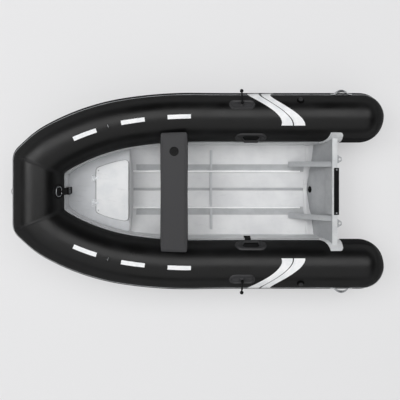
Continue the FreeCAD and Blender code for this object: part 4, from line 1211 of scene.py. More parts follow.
# ---- tubes -------------------------------------------------------------------------------
@dataclass
class AirTubes:
    """Port, starboard and bow air tubes with their seams, end caps and painted marks."""

    around: int = 96
    step: float = 0.03
    ripple: float = 0.0006
    waves: tuple[float, float] = (9.0, 4.3)
    fade: float = 0.2
    lap_half: float = 0.017
    lap_rise: float = 0.0011
    cap_from: float = 31.7
    cap_rise: float = 0.0011
    dashes: tuple[tuple[float, float, float], ...] = (
        (1.390, 1.572, 87.4), (1.750, 1.933, 87.2), (2.131, 2.318, 84.5))
    dash_half: float = 4.8
    dash_rise: float = 0.0008
    nose: float = 0.16

    def __post_init__(self) -> None:
        self.angles = np.linspace(0, 360, self.around, endpoint=False)
        self.girth = np.linspace(0, 2 * math.pi * LINE.radius, self.around + 1)

    def skin(self, gone: np.ndarray, degrees: np.ndarray) -> np.ndarray:
        """Radius of the inflated cloth: the tube's own, less a slow ripple of crossed sines.

        Args:
            gone: Distances along the tube.
            degrees: Angles round it.

        Returns:
            The radii.
        """
        turn = np.radians(degrees)
        wave = np.sin(gone * self.waves[0] + turn * 2) * np.cos(gone * self.waves[1] - turn * 3)
        fade = np.clip((LINE.length - self.fade - gone) / self.fade, 0, 1) \
            * np.clip(gone / self.fade, 0, 1)
        return LINE.radius - self.ripple * (0.5 + 0.5 * wave) * fade

    def side_tube(self, side: Side) -> None:
        """One side tube: half sphere at the stern, swept circle, mitre cut at the bow.

        A point is a distance along the line and an angle round it.  The last stretch of
        rows is spaced evenly up to where each line meets the mitre plane.

        Args:
            side: Which tube.
        """
        last = LINE.length - self.nose
        gone = np.linspace(0, last, int(last / self.step))
        rows, cols = crossed(gone, self.angles)
        body = LINE.frames(rows).polar(self.skin(rows, cols), cols)
        ends = LINE.to_mitre(last, self.angles, LINE.radius, 24)
        nose = LINE.frames(ends).polar(LINE.radius, self.angles)
        lift, spin = crossed(np.radians(np.linspace(89.9, 0, 20)[:-1]), self.angles)
        start = LINE.frames(np.zeros(lift.shape))
        dome = start.origin - start.forward * (LINE.radius * np.sin(lift))[..., None]
        ring = start.polar(LINE.radius * np.cos(lift), spin) - start.origin
        points = np.concatenate([dome + ring, body, LINE.eased(nose)])
        back = -np.broadcast_to(lift[:, :1] * LINE.radius, lift.shape)
        along = np.concatenate([back, rows, ends])
        mesh = grid_mesh("air_tube_" + side.word, side.of(points), wrap=True, closed=True,
                         uv=wrapped_uv(along, self.girth))
        piece = add_object(mesh, TUBE_FABRIC)
        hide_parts("tube_" + side.word)

    def bow_tube(self) -> None:
        """The straight bow tube between its two mitre planes."""
        half, points = LINE.across_bow(self.angles, LINE.radius)
        mesh = grid_mesh("air_tube_bow", LINE.eased(points), wrap=True, closed=True,
                         uv=wrapped_uv(half, self.girth))
        piece = add_object(mesh, TUBE_FABRIC)
        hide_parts("tube_bow")

    def mitre_lap(self, side: Side) -> None:
        """Cloth tape over the mitre seam.

        Its rows go from one edge across the seam to the other, measured along the tube's own
        lines, and it is thickest at the seam.

        Args:
            side: Which mitre.
        """
        out = np.array([-1.0, -1.0, -0.9, -0.12, 0.0])[:, None] * self.lap_half
        radius = np.array([-0.4, 0.9, 1.0, 1.25, 1.9])[:, None] * self.lap_rise + LINE.radius
        gone = LINE.reach(self.angles, LINE.radius) + out
        near = LINE.frames(gone).polar(radius, self.angles)
        half = LINE.bow_reach(self.angles, LINE.radius) + out[::-1][1:]
        far = LINE.bow(half).polar(radius[::-1][1:], self.angles)
        points = LINE.eased(np.concatenate([near, far]))
        run = np.concatenate([out, -out[::-1][1:]])
        mesh = grid_mesh("mitre_lap_" + side.word, side.of(points), wrap=True,
                         uv=uv_map(run, self.girth))
        add_object(mesh, SEAM_TAPE, 60)

    def stern_cap(self, side: Side) -> None:
        """Round cloth cap glued over the stern dome: the dome from a ring to its pole.

        Args:
            side: Which tube.
        """
        lift = np.radians(np.concatenate([[self.cap_from, self.cap_from],
                                          np.linspace(self.cap_from + 0.4, 89.9, 14)]))
        radius = LINE.radius + np.concatenate([[-0.4, 0.8], np.ones(14)]) * self.cap_rise
        grid, spin = crossed(lift, self.angles)
        start = LINE.frames(np.zeros(grid.shape))
        points = start.polar(radius[:, None] * np.cos(grid), spin) \
            - start.forward * (radius[:, None] * np.sin(grid))[..., None]
        mesh = grid_mesh("stern_cap_" + side.word, side.of(points), wrap=True,
                         uv=uv_map(lift[:, None] * LINE.radius, self.girth))
        add_object(mesh, TUBE_FABRIC, 60)

    def side_dashes(self, side: Side) -> None:
        """Three short white marks along the crown of each side tube.

        Args:
            side: Which tube.
        """
        for number, (start, end, middle) in enumerate(self.dashes, 1):
            gone, degrees = crossed(
                np.linspace(start, end, 16),
                middle + np.linspace(-self.dash_half, self.dash_half, 7))
            mesh = tube_patch(f"white_dash_{side.word}_{number}", gone, degrees,
                              self.dash_rise, side)
            add_object(mesh, WHITE_PATCH, 60)

    def build(self) -> None:
        """Makes every tube piece."""
        self.bow_tube()
        for side in Side:
            self.side_tube(side)
            self.mitre_lap(side)
            self.stern_cap(side)
            self.side_dashes(side)


@dataclass
class StripePair:
    """Two curved white stripes on each quarter, from the side over the tube's crown.

    Each edge's X is a cubic Bezier over the angle round the tube; `edges` holds the four
    control values of the four edges, from the foremost one aft.
    """

    angle_from: float = 168.0
    angle_to: float = 66.5
    rise: float = 0.0009
    edges: tuple[tuple[float, float, float, float], ...] = (
        (-0.386, -0.318, -0.678, -0.635), (-0.480, -0.401, -0.729, -0.724),
        (-0.506, -0.404, -0.737, -0.734), (-0.598, -0.437, -0.821, -0.822))

    @staticmethod
    def edge(values: tuple[float, ...], share: np.ndarray) -> np.ndarray:
        """Cubic Bezier: binomial weights of the share times the four control values.

        Args:
            values: The four control values.
            share: Shares of the way round, 0 to 1.

        Returns:
            X at each share.
        """
        rest = 1 - share
        a, b, c, d = values
        return a * rest ** 3 + 3 * b * rest ** 2 * share + 3 * c * rest * share ** 2 \
            + d * share ** 3

    def build(self) -> None:
        """Lays both stripes on both tubes."""
        share = np.linspace(0, 1, 40)
        degrees = self.angle_from + (self.angle_to - self.angle_from) * share
        for side in Side:
            for number in (0, 2):
                fore = self.edge(self.edges[number], share)
                aft = self.edge(self.edges[number + 1], share)
                across = np.linspace(0, 1, 10)[None, :]
                x = fore[:, None] + (aft - fore)[:, None] * across
                gone = x - LINE.stern[0]
                turn = np.broadcast_to(degrees[:, None], gone.shape)
                name = f"white_stripe_{side.word}_{number // 2 + 1}"
                mesh = tube_patch(name, gone, turn, self.rise, side)
                add_object(mesh, WHITE_PATCH, 60)


# ---- strake ------------------------------------------------------------------------------
@dataclass
class RubStrake:
    """Extruded rubber strake round the outside of the tubes, on a band edged with piping."""

    half: float = 0.0195
    depth: float = 0.0068
    seat: float = 0.0004
    inner_end: float = 0.151
    band_deg: tuple[float, float] = (-15.0, 27.0)
    band_thick: float = 0.0007
    bead_radius: float = 0.0022
    sunk: float = 0.0006
    nose: float = 0.2
    groove_at: float = 0.42
    groove_half: float = 0.09
    groove_share: float = 0.32

    def profile(self) -> tuple[np.ndarray, np.ndarray]:
        """Outline of the section: out from the skin and up.

        A flat back, rounded shoulders and a face with two shallow grooves, each a bell
        curve taken off the depth.

        Returns:
            Distances out and up, as two arrays.
        """
        up = np.linspace(-1, 1, 41)
        shoulder = np.sqrt(np.clip(1 - np.abs(up) ** 6, 0, 1))
        dip = np.exp(-((np.abs(up) - self.groove_at) / self.groove_half) ** 2) \
            * self.groove_share
        out = self.depth * shoulder * (1 - dip)
        return np.concatenate([[0.0], out, [0.0]]) + self.seat, \
            np.concatenate([[-1.0], up, [1.0]]) * self.half

    def band(self) -> tuple[np.ndarray, np.ndarray]:
        """Outline of the thin band that the strake is moulded on, wrapped on the skin.

        Returns:
            Distances out and up, as two arrays.
        """
        turn = np.radians(np.linspace(*self.band_deg, 19))
        turn = np.concatenate([turn, turn[::-1]])
        radius = LINE.radius + np.repeat([-self.sunk, self.band_thick], 19)
        return radius * np.cos(turn) - LINE.radius, radius * np.sin(turn)

    def bead(self) -> tuple[np.ndarray, np.ndarray]:
        """Outline of the piping: a small circle on the band's upper edge.

        Returns:
            Distances out and up, as two arrays.
        """
        edge = math.radians(self.band_deg[1])
        middle = LINE.radius + self.bead_radius * 0.7
        turn = np.linspace(0, 2 * math.pi, 12, endpoint=False)
        return middle * math.cos(edge) - LINE.radius + self.bead_radius * np.cos(turn), \
            middle * math.sin(edge) + self.bead_radius * np.sin(turn)

    def along_side(self, out: np.ndarray, up: np.ndarray, inboard: bool) -> np.ndarray:
        """Carries a section from the inner end, round the stern and along to the mitre.

        Each ring of the section stands on the tube's equator: inboard on the tail, turning
        through a half circle round the dome, then outboard along the line.

        Args:
            out: Distances out from the skin.
            up: Distances up from the equator.
            inboard: Whether it starts on the inboard tail; if not, behind the dome.

        Returns:
            Rows by section points by 3, on the port side.
        """
        base = LINE.frames(np.zeros(1))
        turn = np.linspace(0 if inboard else math.pi / 2, math.pi, 40)
        tail = np.linspace(self.inner_end, 0, 8)[:-1] if inboard else np.zeros(0)
        lengths = np.concatenate([tail, np.zeros(len(turn))])
        angle = np.concatenate([np.zeros(len(tail)), turn])[:, None]
        outward = base.inboard * np.cos(angle) - base.forward * np.sin(angle)
        origin = base.origin + base.forward * lengths[:, None]
        reach = LINE.radius + out
        rear = origin[:, None] + outward[:, None] * reach[None, :, None] \
            + UPWARD * up[:, None]
        last = LINE.length - self.nose
        gone = np.linspace(0, last, 90)[1:]
        line = LINE.frames(gone[:, None] + 0 * out)
        flank = line.at(-reach, up)
        radius, degrees = self.polar(out, up)
        gone = LINE.to_mitre(last, degrees, radius, 28)
        ends = LINE.frames(gone).polar(radius, degrees)
        return np.concatenate([rear, flank, LINE.eased(ends)])

    @staticmethod
    def polar(out: np.ndarray, up: np.ndarray) -> tuple[np.ndarray, np.ndarray]:
        """Radii from the centreline and angles round it of a section's points."""
        reach = LINE.radius + out
        return np.hypot(reach, up), 180 - np.degrees(np.arctan2(up, reach))

    def build(self) -> None:
        """Makes the strake, its band and its piping, each in three lengths."""
        kinds = ((self.profile(), "rub_strake", STRAKE_RUBBER_AND_PAINTED_SHADE, True),
                 (self.band(), "strake_band", STRAKE_RUBBER_AND_PAINTED_SHADE, True),
                 # the piping's pale grey is a painted highlight
                 (self.bead(), "strake_piping", PIPING_PAINTED_HIGHLIGHT, False))
        for (out, up), name, finish, inboard in kinds:
            line = self.along_side(out, up, inboard)
            for side in Side:
                mesh = grid_mesh(f"{name}_{side.word}", side.of(line), wrap=True, closed=True)
                add_object(mesh, finish)
            radius, degrees = self.polar(out, up)
            points = LINE.eased(LINE.across_bow(degrees, radius)[1])
            mesh = grid_mesh(name + "_bow", points, wrap=True, closed=True)
            add_object(mesh, finish)
        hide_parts("rub_strake")


# ---- fittings on the side tubes ----------------------------------------------------------
def middle_of(node: str) -> np.ndarray:
    """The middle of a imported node's box."""
    low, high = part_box(node)
    return np.array((low + high) / 2)


@dataclass
class SideFitting:
    """A fitting on both side tubes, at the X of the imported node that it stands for."""

    node: str
    degrees: float

    def build(self) -> None:
        """Makes the fitting on both sides."""
        at = LINE.frames(np.array(LINE.nearest(middle_of(self.node)[0])))
        for side in Side:
            self.place(Seat(at, self.degrees, side))

    def place(self, seat: Seat) -> None:
        """Makes the fitting on one side; each kind has its own."""
        raise NotImplementedError


@dataclass
class OarlockBase(SideFitting):
    """Moulded oarlock: an oblong rubber pad with a raised rim, a boss and a tilted pin."""

    node: str = "oarlock_bases"
    degrees: float = 116.7
    length: float = 0.204
    width: float = 0.088
    rim: float = 0.0105
    well: float = 0.0035
    boss_radius: float = 0.0165
    boss_top: float = 0.0185
    pin_tilt: float = -32.0
    pin_reach: float = 0.118
    pin_radius: float = 0.0068
    knob_radius: float = 0.0148
    rib_at: float = 0.048
    rib_half: float = 0.022
    collar_over: float = 0.0012
    root_over: float = 0.0095

    def pad_profile(self) -> np.ndarray:
        """Share and height: a flat well, a round rim near the edge and a thin skirt.

        Returns:
            Rows of share and height.
        """
        share = np.array([0.02, 0.3, 0.5, 0.56, 0.62, 0.68, 0.74, 0.8, 0.85, 0.89, 0.95, 1.0,
                          1.0])
        bump = np.array([0, 0, 0, 0.1, 0.45, 0.85, 1.0, 0.95, 0.6, 0.25, 0.08, 0.0, 0])
        rise = self.well + (self.rim - self.well) * bump
        rise[-3:] = (0.003, 0.0018, 0.0001)
        return np.stack([share, rise], 1)

    def place(self, seat: Seat) -> None:
        """Makes base and pin.

        Args:
            seat: Where it stands.
        """
        out = seat.direction(0, 0, 1)
        pad = moulded_pad("pad", seat, self.length, self.width, self.pad_profile())
        boss = np.array([[self.boss_radius * 1.35, 0.002], [self.boss_radius * 1.3, 0.006],
                         [self.boss_radius * 1.05, 0.009], [self.boss_radius, 0.011],
                         [self.boss_radius, self.boss_top - 0.002],
                         [self.boss_radius - 0.002, self.boss_top],
                         [0.009, self.boss_top], [0.0085, self.boss_top - 0.003]])
        rib = np.linspace(-self.rib_half, self.rib_half, 9)
        ribs = [swept("rib", seat.flat(end * self.rib_at + rib, 0 * rib, self.well + 0.001),
                      seat.direction(0, 1, 0), oblong(0.006, 0.005, 0.002))
                for end in (-1, 1)]
        mesh = joined("oarlock_base_" + seat.side.word,
                      [pad, revolved("boss", seat.flat(0, 0, 0), out, boss)] + ribs)
        piece = add_object(mesh, SOFT_RUBBER)
        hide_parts("oarlock_bases")
        self.pin(seat, out)

    def pin(self, seat: Seat, out: np.ndarray) -> None:
        """The collar in the boss and the pin with its round knob.

        Args:
            seat: Where it stands.
            out: The direction out of the tube.
        """
        tilt = math.radians(self.pin_tilt)
        aim = seat.side.of(np.array([0, math.cos(tilt), math.sin(tilt)]))
        base = seat.flat(0, 0, self.boss_top + self.collar_over)
        collar = np.array([[0.0112, 0.0], [0.0118, 0.001], [0.0118, 0.011], [0.0105, 0.014],
                           [0.006, 0.0145]])
        root = base + out * self.root_over
        neck = self.pin_reach - self.knob_radius * 0.9
        bulge = np.linspace(-64, 88, 12)
        knob = np.stack([self.knob_radius * np.cos(np.radians(bulge)),
                         self.pin_reach + self.knob_radius * np.sin(np.radians(bulge))], 1)
        rod = np.array([[self.pin_radius, 0.0], [self.pin_radius, neck - 0.02],
                        [self.pin_radius * 0.86, neck - 0.016],
                        [self.pin_radius * 0.86, neck]])
        mesh = joined("oarlock_pin_" + seat.side.word,
                      [revolved("collar", base, out, collar),
                       revolved("rod", root, aim, np.concatenate([rod, knob]))])
        piece = add_object(mesh, BLACK_PLASTIC)
        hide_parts("oarlock_pins")


@dataclass
class CarryHandle(SideFitting):
    """Moulded carry handle: oblong pad with painted shade in its well, bridged by a ribbed
    grip.
    """

    node: str = "carry_handles"
    degrees: float = 30.0
    length: float = 0.254
    width: float = 0.112
    rim: float = 0.0085
    well: float = 0.0045
    foot: float = 0.075
    head: float = 0.058
    rise: float = 0.038
    grip_width: float = 0.0255
    grip_thick: float = 0.0088
    root: float = 0.0035
    bend: float = 0.012
    ribs: int = 19
    ribbed: float = 0.27
    rib_share: float = 0.07
    between_ribs: float = 0.93
    lug_out: float = 0.018
    shade_patch_size: tuple[float, float] = (0.140, 0.064)

    def pad_profile(self) -> np.ndarray:
        """Share and height: flat middle, low round rim, thin skirt.

        Returns:
            Rows of share and height.
        """
        return np.array([[0.02, self.well], [0.5, self.well], [0.6, self.well + 0.0004],
                         [0.68, self.rim * 0.85], [0.75, self.rim], [0.82, self.rim * 0.9],
                         [0.88, 0.0045], [0.94, 0.0028], [1.0, 0.0018], [1.0, 0.0001]])

    def grip(self, seat: Seat) -> bpy.types.Mesh:
        """The grip: up from one foot, along and down, with ribs round its middle.

        Args:
            seat: Where it stands.

        Returns:
            The mesh.
        """
        mid = self.grip_thick / 2
        corners = np.array([[-self.foot + mid, 0.001], [-self.head + mid, self.rise - mid],
                            [self.head - mid, self.rise - mid], [self.foot - mid, 0.001]])
        line = seat.flat(corners[:, 0], np.zeros(4), self.root + corners[:, 1])
        line = evened(rounded_line(line, [0, self.bend, self.bend, 0]), 0.0015)
        gone = np.linspace(0, 1, len(line))
        ribs = np.where(np.abs(gone - 0.5) < self.ribbed,
                        np.abs(np.sin(gone * math.pi * self.ribs)), 0.0)
        return swept("grip", line, seat.direction(0, 1, 0),
                     oblong(self.grip_width * self.between_ribs,
                            self.grip_thick * self.between_ribs, 0.003),
                     1 + self.rib_share * ribs)

    def place(self, seat: Seat) -> None:
        """Makes pad, the well's painted shade, grip and lugs.

        Args:
            seat: Where it stands.
        """
        pad = moulded_pad("pad", seat, self.length, self.width, self.pad_profile())
        grip = self.grip(seat)
        lug = np.array([[0.016, 0.0], [0.0155, 0.003], [0.013, 0.0045], [0.001, 0.005]])
        lugs = [revolved("lug", seat.flat(end * (self.foot + self.lug_out), 0, self.well),
                         seat.direction(0, 0, 1), lug) for end in (-1, 1)]
        # a black patch in the well: painted shade in the recess under the grip
        floor = self.well + 0.0006
        well = moulded_pad("carry_handle_well_" + seat.side.word, seat, *self.shade_patch_size,
                           np.array([[0.02, floor], [0.9, floor], [1.0, floor - 0.001]]))
        add_object(well, STRAKE_RUBBER_AND_PAINTED_SHADE)
        mesh = joined("carry_handle_" + seat.side.word, [pad, grip] + lugs)
        piece = add_object(mesh, SOFT_RUBBER)
        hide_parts("carry_handles")


@dataclass
class GrabHandle(SideFitting):
    """Bent steel strap on the outside of each quarter, with a screw in each foot.

    The strap's middle is turned by `twist` so that its flat looks up at the hand, and a dead
    black pad under it is the painted shadow of the strap on the cloth.
    """

    node: str = "stern_grab_handles"
    degrees: float = 156.0
    half: float = 0.086
    foot: float = 0.026
    knee: float = 0.006
    rise: float = 0.032
    width: float = 0.0255
    thick: float = 0.0046
    twist: float = 32.0
    twisted: float = 0.7
    over: float = 0.0004
    screw: float = 0.0055
    # size of the black pad under the strap: painted shadow
    pad: tuple[float, float] = (0.150, 0.052)

    def strap(self, seat: Seat) -> bpy.types.Mesh:
        """The strap: flat feet and an arch whose height is a parabola of its share.

        Args:
            seat: Where it stands.

        Returns:
            The mesh.
        """
        free, share = self.half - self.foot, np.linspace(-1, 1, 41)
        arch = (self.rise - self.thick) * (1 - share ** 2)
        along = np.concatenate([[-self.half, -free - self.knee], share * free,
                                [free + self.knee, self.half]])
        out = np.concatenate([[0, 0], arch, [0, 0]]) + self.thick / 2 + self.over
        line = evened(seat.flat(along, 0 * along, out), 0.003)
        bent = np.clip(1 - (np.linspace(-1, 1, len(line)) / self.twisted) ** 2, 0, 1)
        turn = np.radians(self.twist * bent)[:, None]
        aside = seat.direction(0, 1, 0) * np.cos(turn) + seat.direction(0, 0, 1) * np.sin(turn)
        return swept("stern_grab_handle_" + seat.side.word, line, aside,
                     oblong(self.width, self.thick, 0.0015))

    def place(self, seat: Seat) -> None:
        """Makes the strap, its screws and the black pad of painted shadow.

        Args:
            seat: Where it stands.
        """
        piece = add_object(self.strap(seat), STEEL)
        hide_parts("stern_grab_handles")
        screws = [button_head(seat.flat(end * (self.half - self.foot / 2), 0,
                                        self.thick + 0.0002),
                              seat.direction(0, 0, 1), self.screw) for end in (-1, 1)]
        add_object(joined("grab_handle_screws_" + seat.side.word, screws), STEEL)
        # dead black pad under the strap: painted shadow on the cloth
        pad = moulded_pad("grab_handle_pad_" + seat.side.word, seat, *self.pad,
                          flat_pad(0.0018, 0.0014), 60)
        add_object(pad, VALVE_RUBBER_AND_PAINTED_SHADOW)


def button_head(at: np.ndarray, out: np.ndarray, radius: float) -> bpy.types.Mesh:
    """A button-headed screw: a low dome with a hexagonal socket.

    Rows run from the rim over the dome to the socket's edge and down it; the socket's radius
    follows a hexagon, its apothem over the cosine of the angle from the nearest flat.

    Args:
        at: Where it sits.
        out: The direction that it faces.
        radius: The head's radius.

    Returns:
        The mesh.
    """
    out, first, second = square_to(out)
    turn = np.linspace(0, 2 * math.pi, 24, endpoint=False)
    flat = np.mod(turn, math.pi / 3) - math.pi / 6
    hexagon = 0.42 / np.cos(flat)
    rows = [(np.ones(24), 0.0), (np.ones(24) * 0.99, 0.12), (np.ones(24) * 0.88, 0.36),
            (np.ones(24) * 0.68, 0.5), (hexagon * 1.04, 0.54), (hexagon, 0.5),
            (hexagon * 0.97, 0.14), (hexagon * 0.05, 0.13)]
    ring = np.cos(turn)[:, None] * first + np.sin(turn)[:, None] * second
    points = np.stack([at + ring * (size * radius)[:, None] + out * (height * radius)
                       for size, height in rows])
    return grid_mesh("screw", points, wrap=True, closed=True)


@dataclass
class InflationValve(SideFitting):
    """Screw valve on each quarter: a glued flange with its seat ring, and a lobed cap."""

    node: str = "tube_valves"
    degrees: float = 128.5
    flange: float = 0.0285
    cap: float = 0.0182

    def place(self, seat: Seat) -> None:
        """Makes flange and cap, which have rubbers of their own.

        Args:
            seat: Where it stands.
        """
        at, out = seat.flat(0, 0, 0), seat.direction(0, 0, 1)
        base = np.array([[self.flange, -0.0014], [self.flange, 0.0035],
                         [self.flange - 0.002, 0.0052], [self.cap + 0.003, 0.006],
                         [self.cap + 0.0022, 0.0095], [self.cap + 0.0005, 0.010]])
        lid = np.array([[self.cap, 0.009], [self.cap, 0.0165], [self.cap - 0.0015, 0.0192],
                        [self.cap - 0.005, 0.0198], [0.012, 0.0186], [0.011, 0.0158],
                        [0.004, 0.0155], [0.002, 0.0175]])
        word = seat.side.word
        for part, finish in ((revolved("tube_valve_" + word, at, out, base), VALVE_RUBBER_AND_PAINTED_SHADOW),
                             (revolved("tube_valve_cap_" + word, at, out, lid, around=96,
                                       lobes=16, depth=0.05, lobed=slice(0, 3)),
                              SOFT_RUBBER)):
            piece = add_object(part, finish)
            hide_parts("tube_valves")


@dataclass
class CrownEye:
    """Small steel eye on a round-ended cloth patch, between the two foremost white dashes."""

    gone: float = 2.036
    degrees: float = 86.5
    patch: tuple[float, float] = (0.034, 0.032)

    def build(self) -> None:
        """Makes the eye on both sides."""
        for side in Side:
            seat = Seat(LINE.frames(np.array(self.gone)), self.degrees, side)
            pad = moulded_pad("crown_patch_" + side.word, seat, *self.patch,
                              flat_pad(0.0012, 0.0009), 40)
            add_object(pad, SEAM_TAPE)
            corners = np.array([[-0.012, -0.001], [-0.012, 0.0075], [0.012, 0.0075],
                                [0.012, -0.001]])
            line = seat.flat(np.zeros(4), corners[:, 0], corners[:, 1])
            line = rounded_line(line, [0, 0.004, 0.004, 0])
            wire = swept("crown_eye_" + side.word, evened(line, 0.0012),
                         seat.direction(1, 0, 0), oblong(0.0032, 0.0032, 0.0015))
            add_object(wire, STEEL)


@dataclass
class BowStrap:
    """Webbing strap from the bow tube down to the deck, its stitching and its buckle."""

    width: float = 0.056
    thick: float = 0.0026
    from_deg: float = 18.6
    leaves_deg: float = 16.0
    over: float = 0.0061
    back: float = 0.0015
    step: float = 0.002
    stitch: float = 0.006
    stitch_in: float = 0.006
    thread: tuple[float, float, float] = (0.0016, 0.0012, 0.0005)
    bar: tuple[float, float, float] = (0.0046, 0.0052, 0.0021)
    bar_back: float = 0.001
    buckle_wall: float = 0.0052
    buckle_round: float = 0.007
    bar_at: float = 0.62

    def strap_line(self) -> np.ndarray:
        """The strap's middle line.

        It hugs the tube for a few degrees, runs straight over the rail, turns down and stands
        upright to the deck.

        Returns:
            Points from the tube to the deck.
        """
        low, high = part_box("bow_strap")
        frames = LINE.bow(np.array((low.y + high.y) / 2))
        hug = frames.polar(LINE.radius + self.over,
                           np.linspace(self.from_deg, self.leaves_deg, 5))
        turn = math.radians(self.leaves_deg)
        fall = frames.inboard * math.sin(turn) - frames.up * math.cos(turn)
        upright = low.x + self.back
        shoulder = hug[-1] + fall * ((upright - hug[-1][0]) / fall[0])
        foot = np.array([upright, shoulder[1], low.z + 0.0002])
        line = rounded_line(np.concatenate([hug, [shoulder, foot]]), [0] * 5 + [0.009, 0])
        return evened(line, self.step)

    def build(self) -> None:
        """Makes strap, stitching and buckle."""
        line = self.strap_line()
        strap = swept("bow_strap_webbing", line, PORTWARD,
                      oblong(self.width, self.thick, 0.0011))
        piece = add_object(strap, WEBBING)
        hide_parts("bow_strap")
        self.stitches(line)
        self.buckle()

    def stitches(self, line: np.ndarray) -> None:
        """Rows of grey thread along both edges of the strap, each stitch a short bead.

        Args:
            line: The strap's middle line.
        """
        ahead = unit(np.gradient(line, axis=0))
        rise = unit(np.cross(PORTWARD, ahead))
        top = line + rise * (self.thick / 2)
        gone = np.arange(len(line)) * self.step
        pulse = 0.35 + 0.65 * np.abs(np.sin(gone * math.pi / self.stitch))
        threads = []
        for edge in (-1, 1):
            path = top + np.array([0, edge * (self.width / 2 - self.stitch_in), 0])
            threads.append(swept("thread", path, PORTWARD,
                                 oblong(*self.thread, 3), pulse))
        add_object(joined("bow_strap_stitching", threads), WEBBING)

    def buckle(self) -> None:
        """Ladder-lock buckle upright on the strap: a moulded frame and two steel bars."""
        low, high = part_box("strap_buckle")
        middle, wall = np.array((low + high) / 2), self.buckle_wall
        half = np.array((high - low) / 2) - wall / 2 - 0.0004
        flat = rounded_line(np.array([[0, -half[1], -half[2]], [0, half[1], -half[2]],
                                      [0, half[1], half[2]], [0, -half[1], half[2]]]),
                            [self.buckle_round] * 4, closed=True)
        outline = evened(flat, 0.0015, closed=True) + middle
        ring = swept("buckle_frame", outline, AHEAD,
                     oblong(high.x - low.x - 0.0008, wall, 0.0018), ring=True)
        piece = add_object(ring, BLACK_PLASTIC)
        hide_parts("strap_buckle")
        bars = []
        for end in (-1, 1):
            path = middle + np.linspace(-1, 1, 24)[:, None] * np.array([0, half[1], 0]) \
                + np.array([-self.bar_back, 0, end * self.bar_at * half[2]])
            bars.append(swept("bar", path, AHEAD, oblong(*self.bar)))
        add_object(joined("buckle_bars", bars), STEEL)


# ---- locker and transom trims ------------------------------------------------------------
@dataclass
class LockerTrim:
    """Rubber seal round the locker lid, its corner screws and the screws of its hinges."""

    half_aft: float = 0.259
    half_fore: float = 0.184
    bulge: float = 0.012
    corner: float = 0.030
    seal_out: float = 0.0022
    seal_height: float = 0.0062
    leaf_in: float = 0.030
    leaf_pitch: float = 0.020
    leaf_thick: float = 0.0026
    deck_screw_in: float = 0.010
    lid_screw_in: float = 0.009
    corner_in: tuple[float, float] = (0.020, 0.018)
    screws: tuple[float, float, float] = (0.0042, 0.0045, 0.0062)
    clear: float = 0.0001

    def outline(self, grow: float, level: float) -> np.ndarray:
        """The lid's outline grown by a little: four corners and two bulged sides.

        Args:
            grow: How far it is grown.
            level: Its height.

        Returns:
            Points of the outline.
        """
        low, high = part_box("bow_locker_lid")
        aft, fore = low.x - grow, high.x + grow
        wide, slim = self.half_aft + grow, self.half_fore + grow
        mid = ((aft + fore) / 2, (wide + slim) / 2 + self.bulge)
        corners = np.array([[aft, -wide, level], [aft, wide, level],
                            [mid[0], mid[1], level], [fore, slim, level],
                            [fore, -slim, level], [mid[0], -mid[1], level]])
        radii = [self.corner + grow] * 2 + [0.5] + [self.corner + grow] * 2 + [0.5]
        return rounded_line(corners, radii, 9, closed=True)

    def build(self) -> None:
        """Makes the seal, the hinge screws and the lid's corner screws."""
        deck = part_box("bow_deck")[1].z
        line = evened(self.outline(self.seal_out, deck + self.seal_height / 2 + 0.0003),
                      0.006, closed=True)
        seal = swept("locker_seal", line, UPWARD,
                     oblong(self.seal_height, 0.0036, 0.0015), ring=True)
        add_object(seal, STRAKE_RUBBER_AND_PAINTED_SHADE)
        fixed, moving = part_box("lid_hinge_fixed"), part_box("lid_hinge_moving")
        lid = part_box("bow_locker_lid")[1]
        deck_size, leaf_size, corner_size = self.screws
        deck_screws, lid_screws = [], []
        for side in (1, -1):
            y = side * (abs(fixed[1].y) - self.leaf_in)
            for step in (-self.leaf_pitch, self.leaf_pitch):
                at = np.array([fixed[1].x - self.deck_screw_in, y + step,
                               deck + self.leaf_thick])
                deck_screws.append(button_head(at, UPWARD, deck_size))
            at = np.array([moving[0].x + self.lid_screw_in, y, moving[1].z + self.clear])
            lid_screws.append(button_head(at, UPWARD, leaf_size))
            at = np.array([lid.x - self.corner_in[0],
                           side * (self.half_fore - self.corner_in[1]), lid.z + self.clear])
            lid_screws.append(button_head(at, UPWARD, corner_size))
        add_object(joined("hinge_screws_deck", deck_screws), STEEL)
        add_object(joined("hinge_screws_lid", lid_screws), STEEL, body=LID)


@dataclass
class ClipHook:
    """Flat moulded tongue that hangs the side clip on the gunwale rail."""

    width: float = 0.050
    thick: float = 0.003
    behind: float = 0.0042
    over: float = 0.0135
    reach: float = 0.0215
    root: float = 0.006
    bend: float = 0.005

    def build(self) -> None:
        """Makes the tongue: up from the clip and outboard over the rail."""
        low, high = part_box("side_clip")
        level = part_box("gunwale_rail")[0].z + self.over
        x, y = (low.x + high.x) / 2, high.y - self.behind
        corners = np.array([[x, y, high.z - self.root], [x, y, level],
                            [x, y + self.reach, level]])
        line = evened(rounded_line(corners, [0, self.bend, 0]), 0.002)
        tongue = swept("side_clip_tongue", line, AHEAD,
                       oblong(self.width, self.thick, 0.0012))
        add_object(tongue, BLACK_PLASTIC)


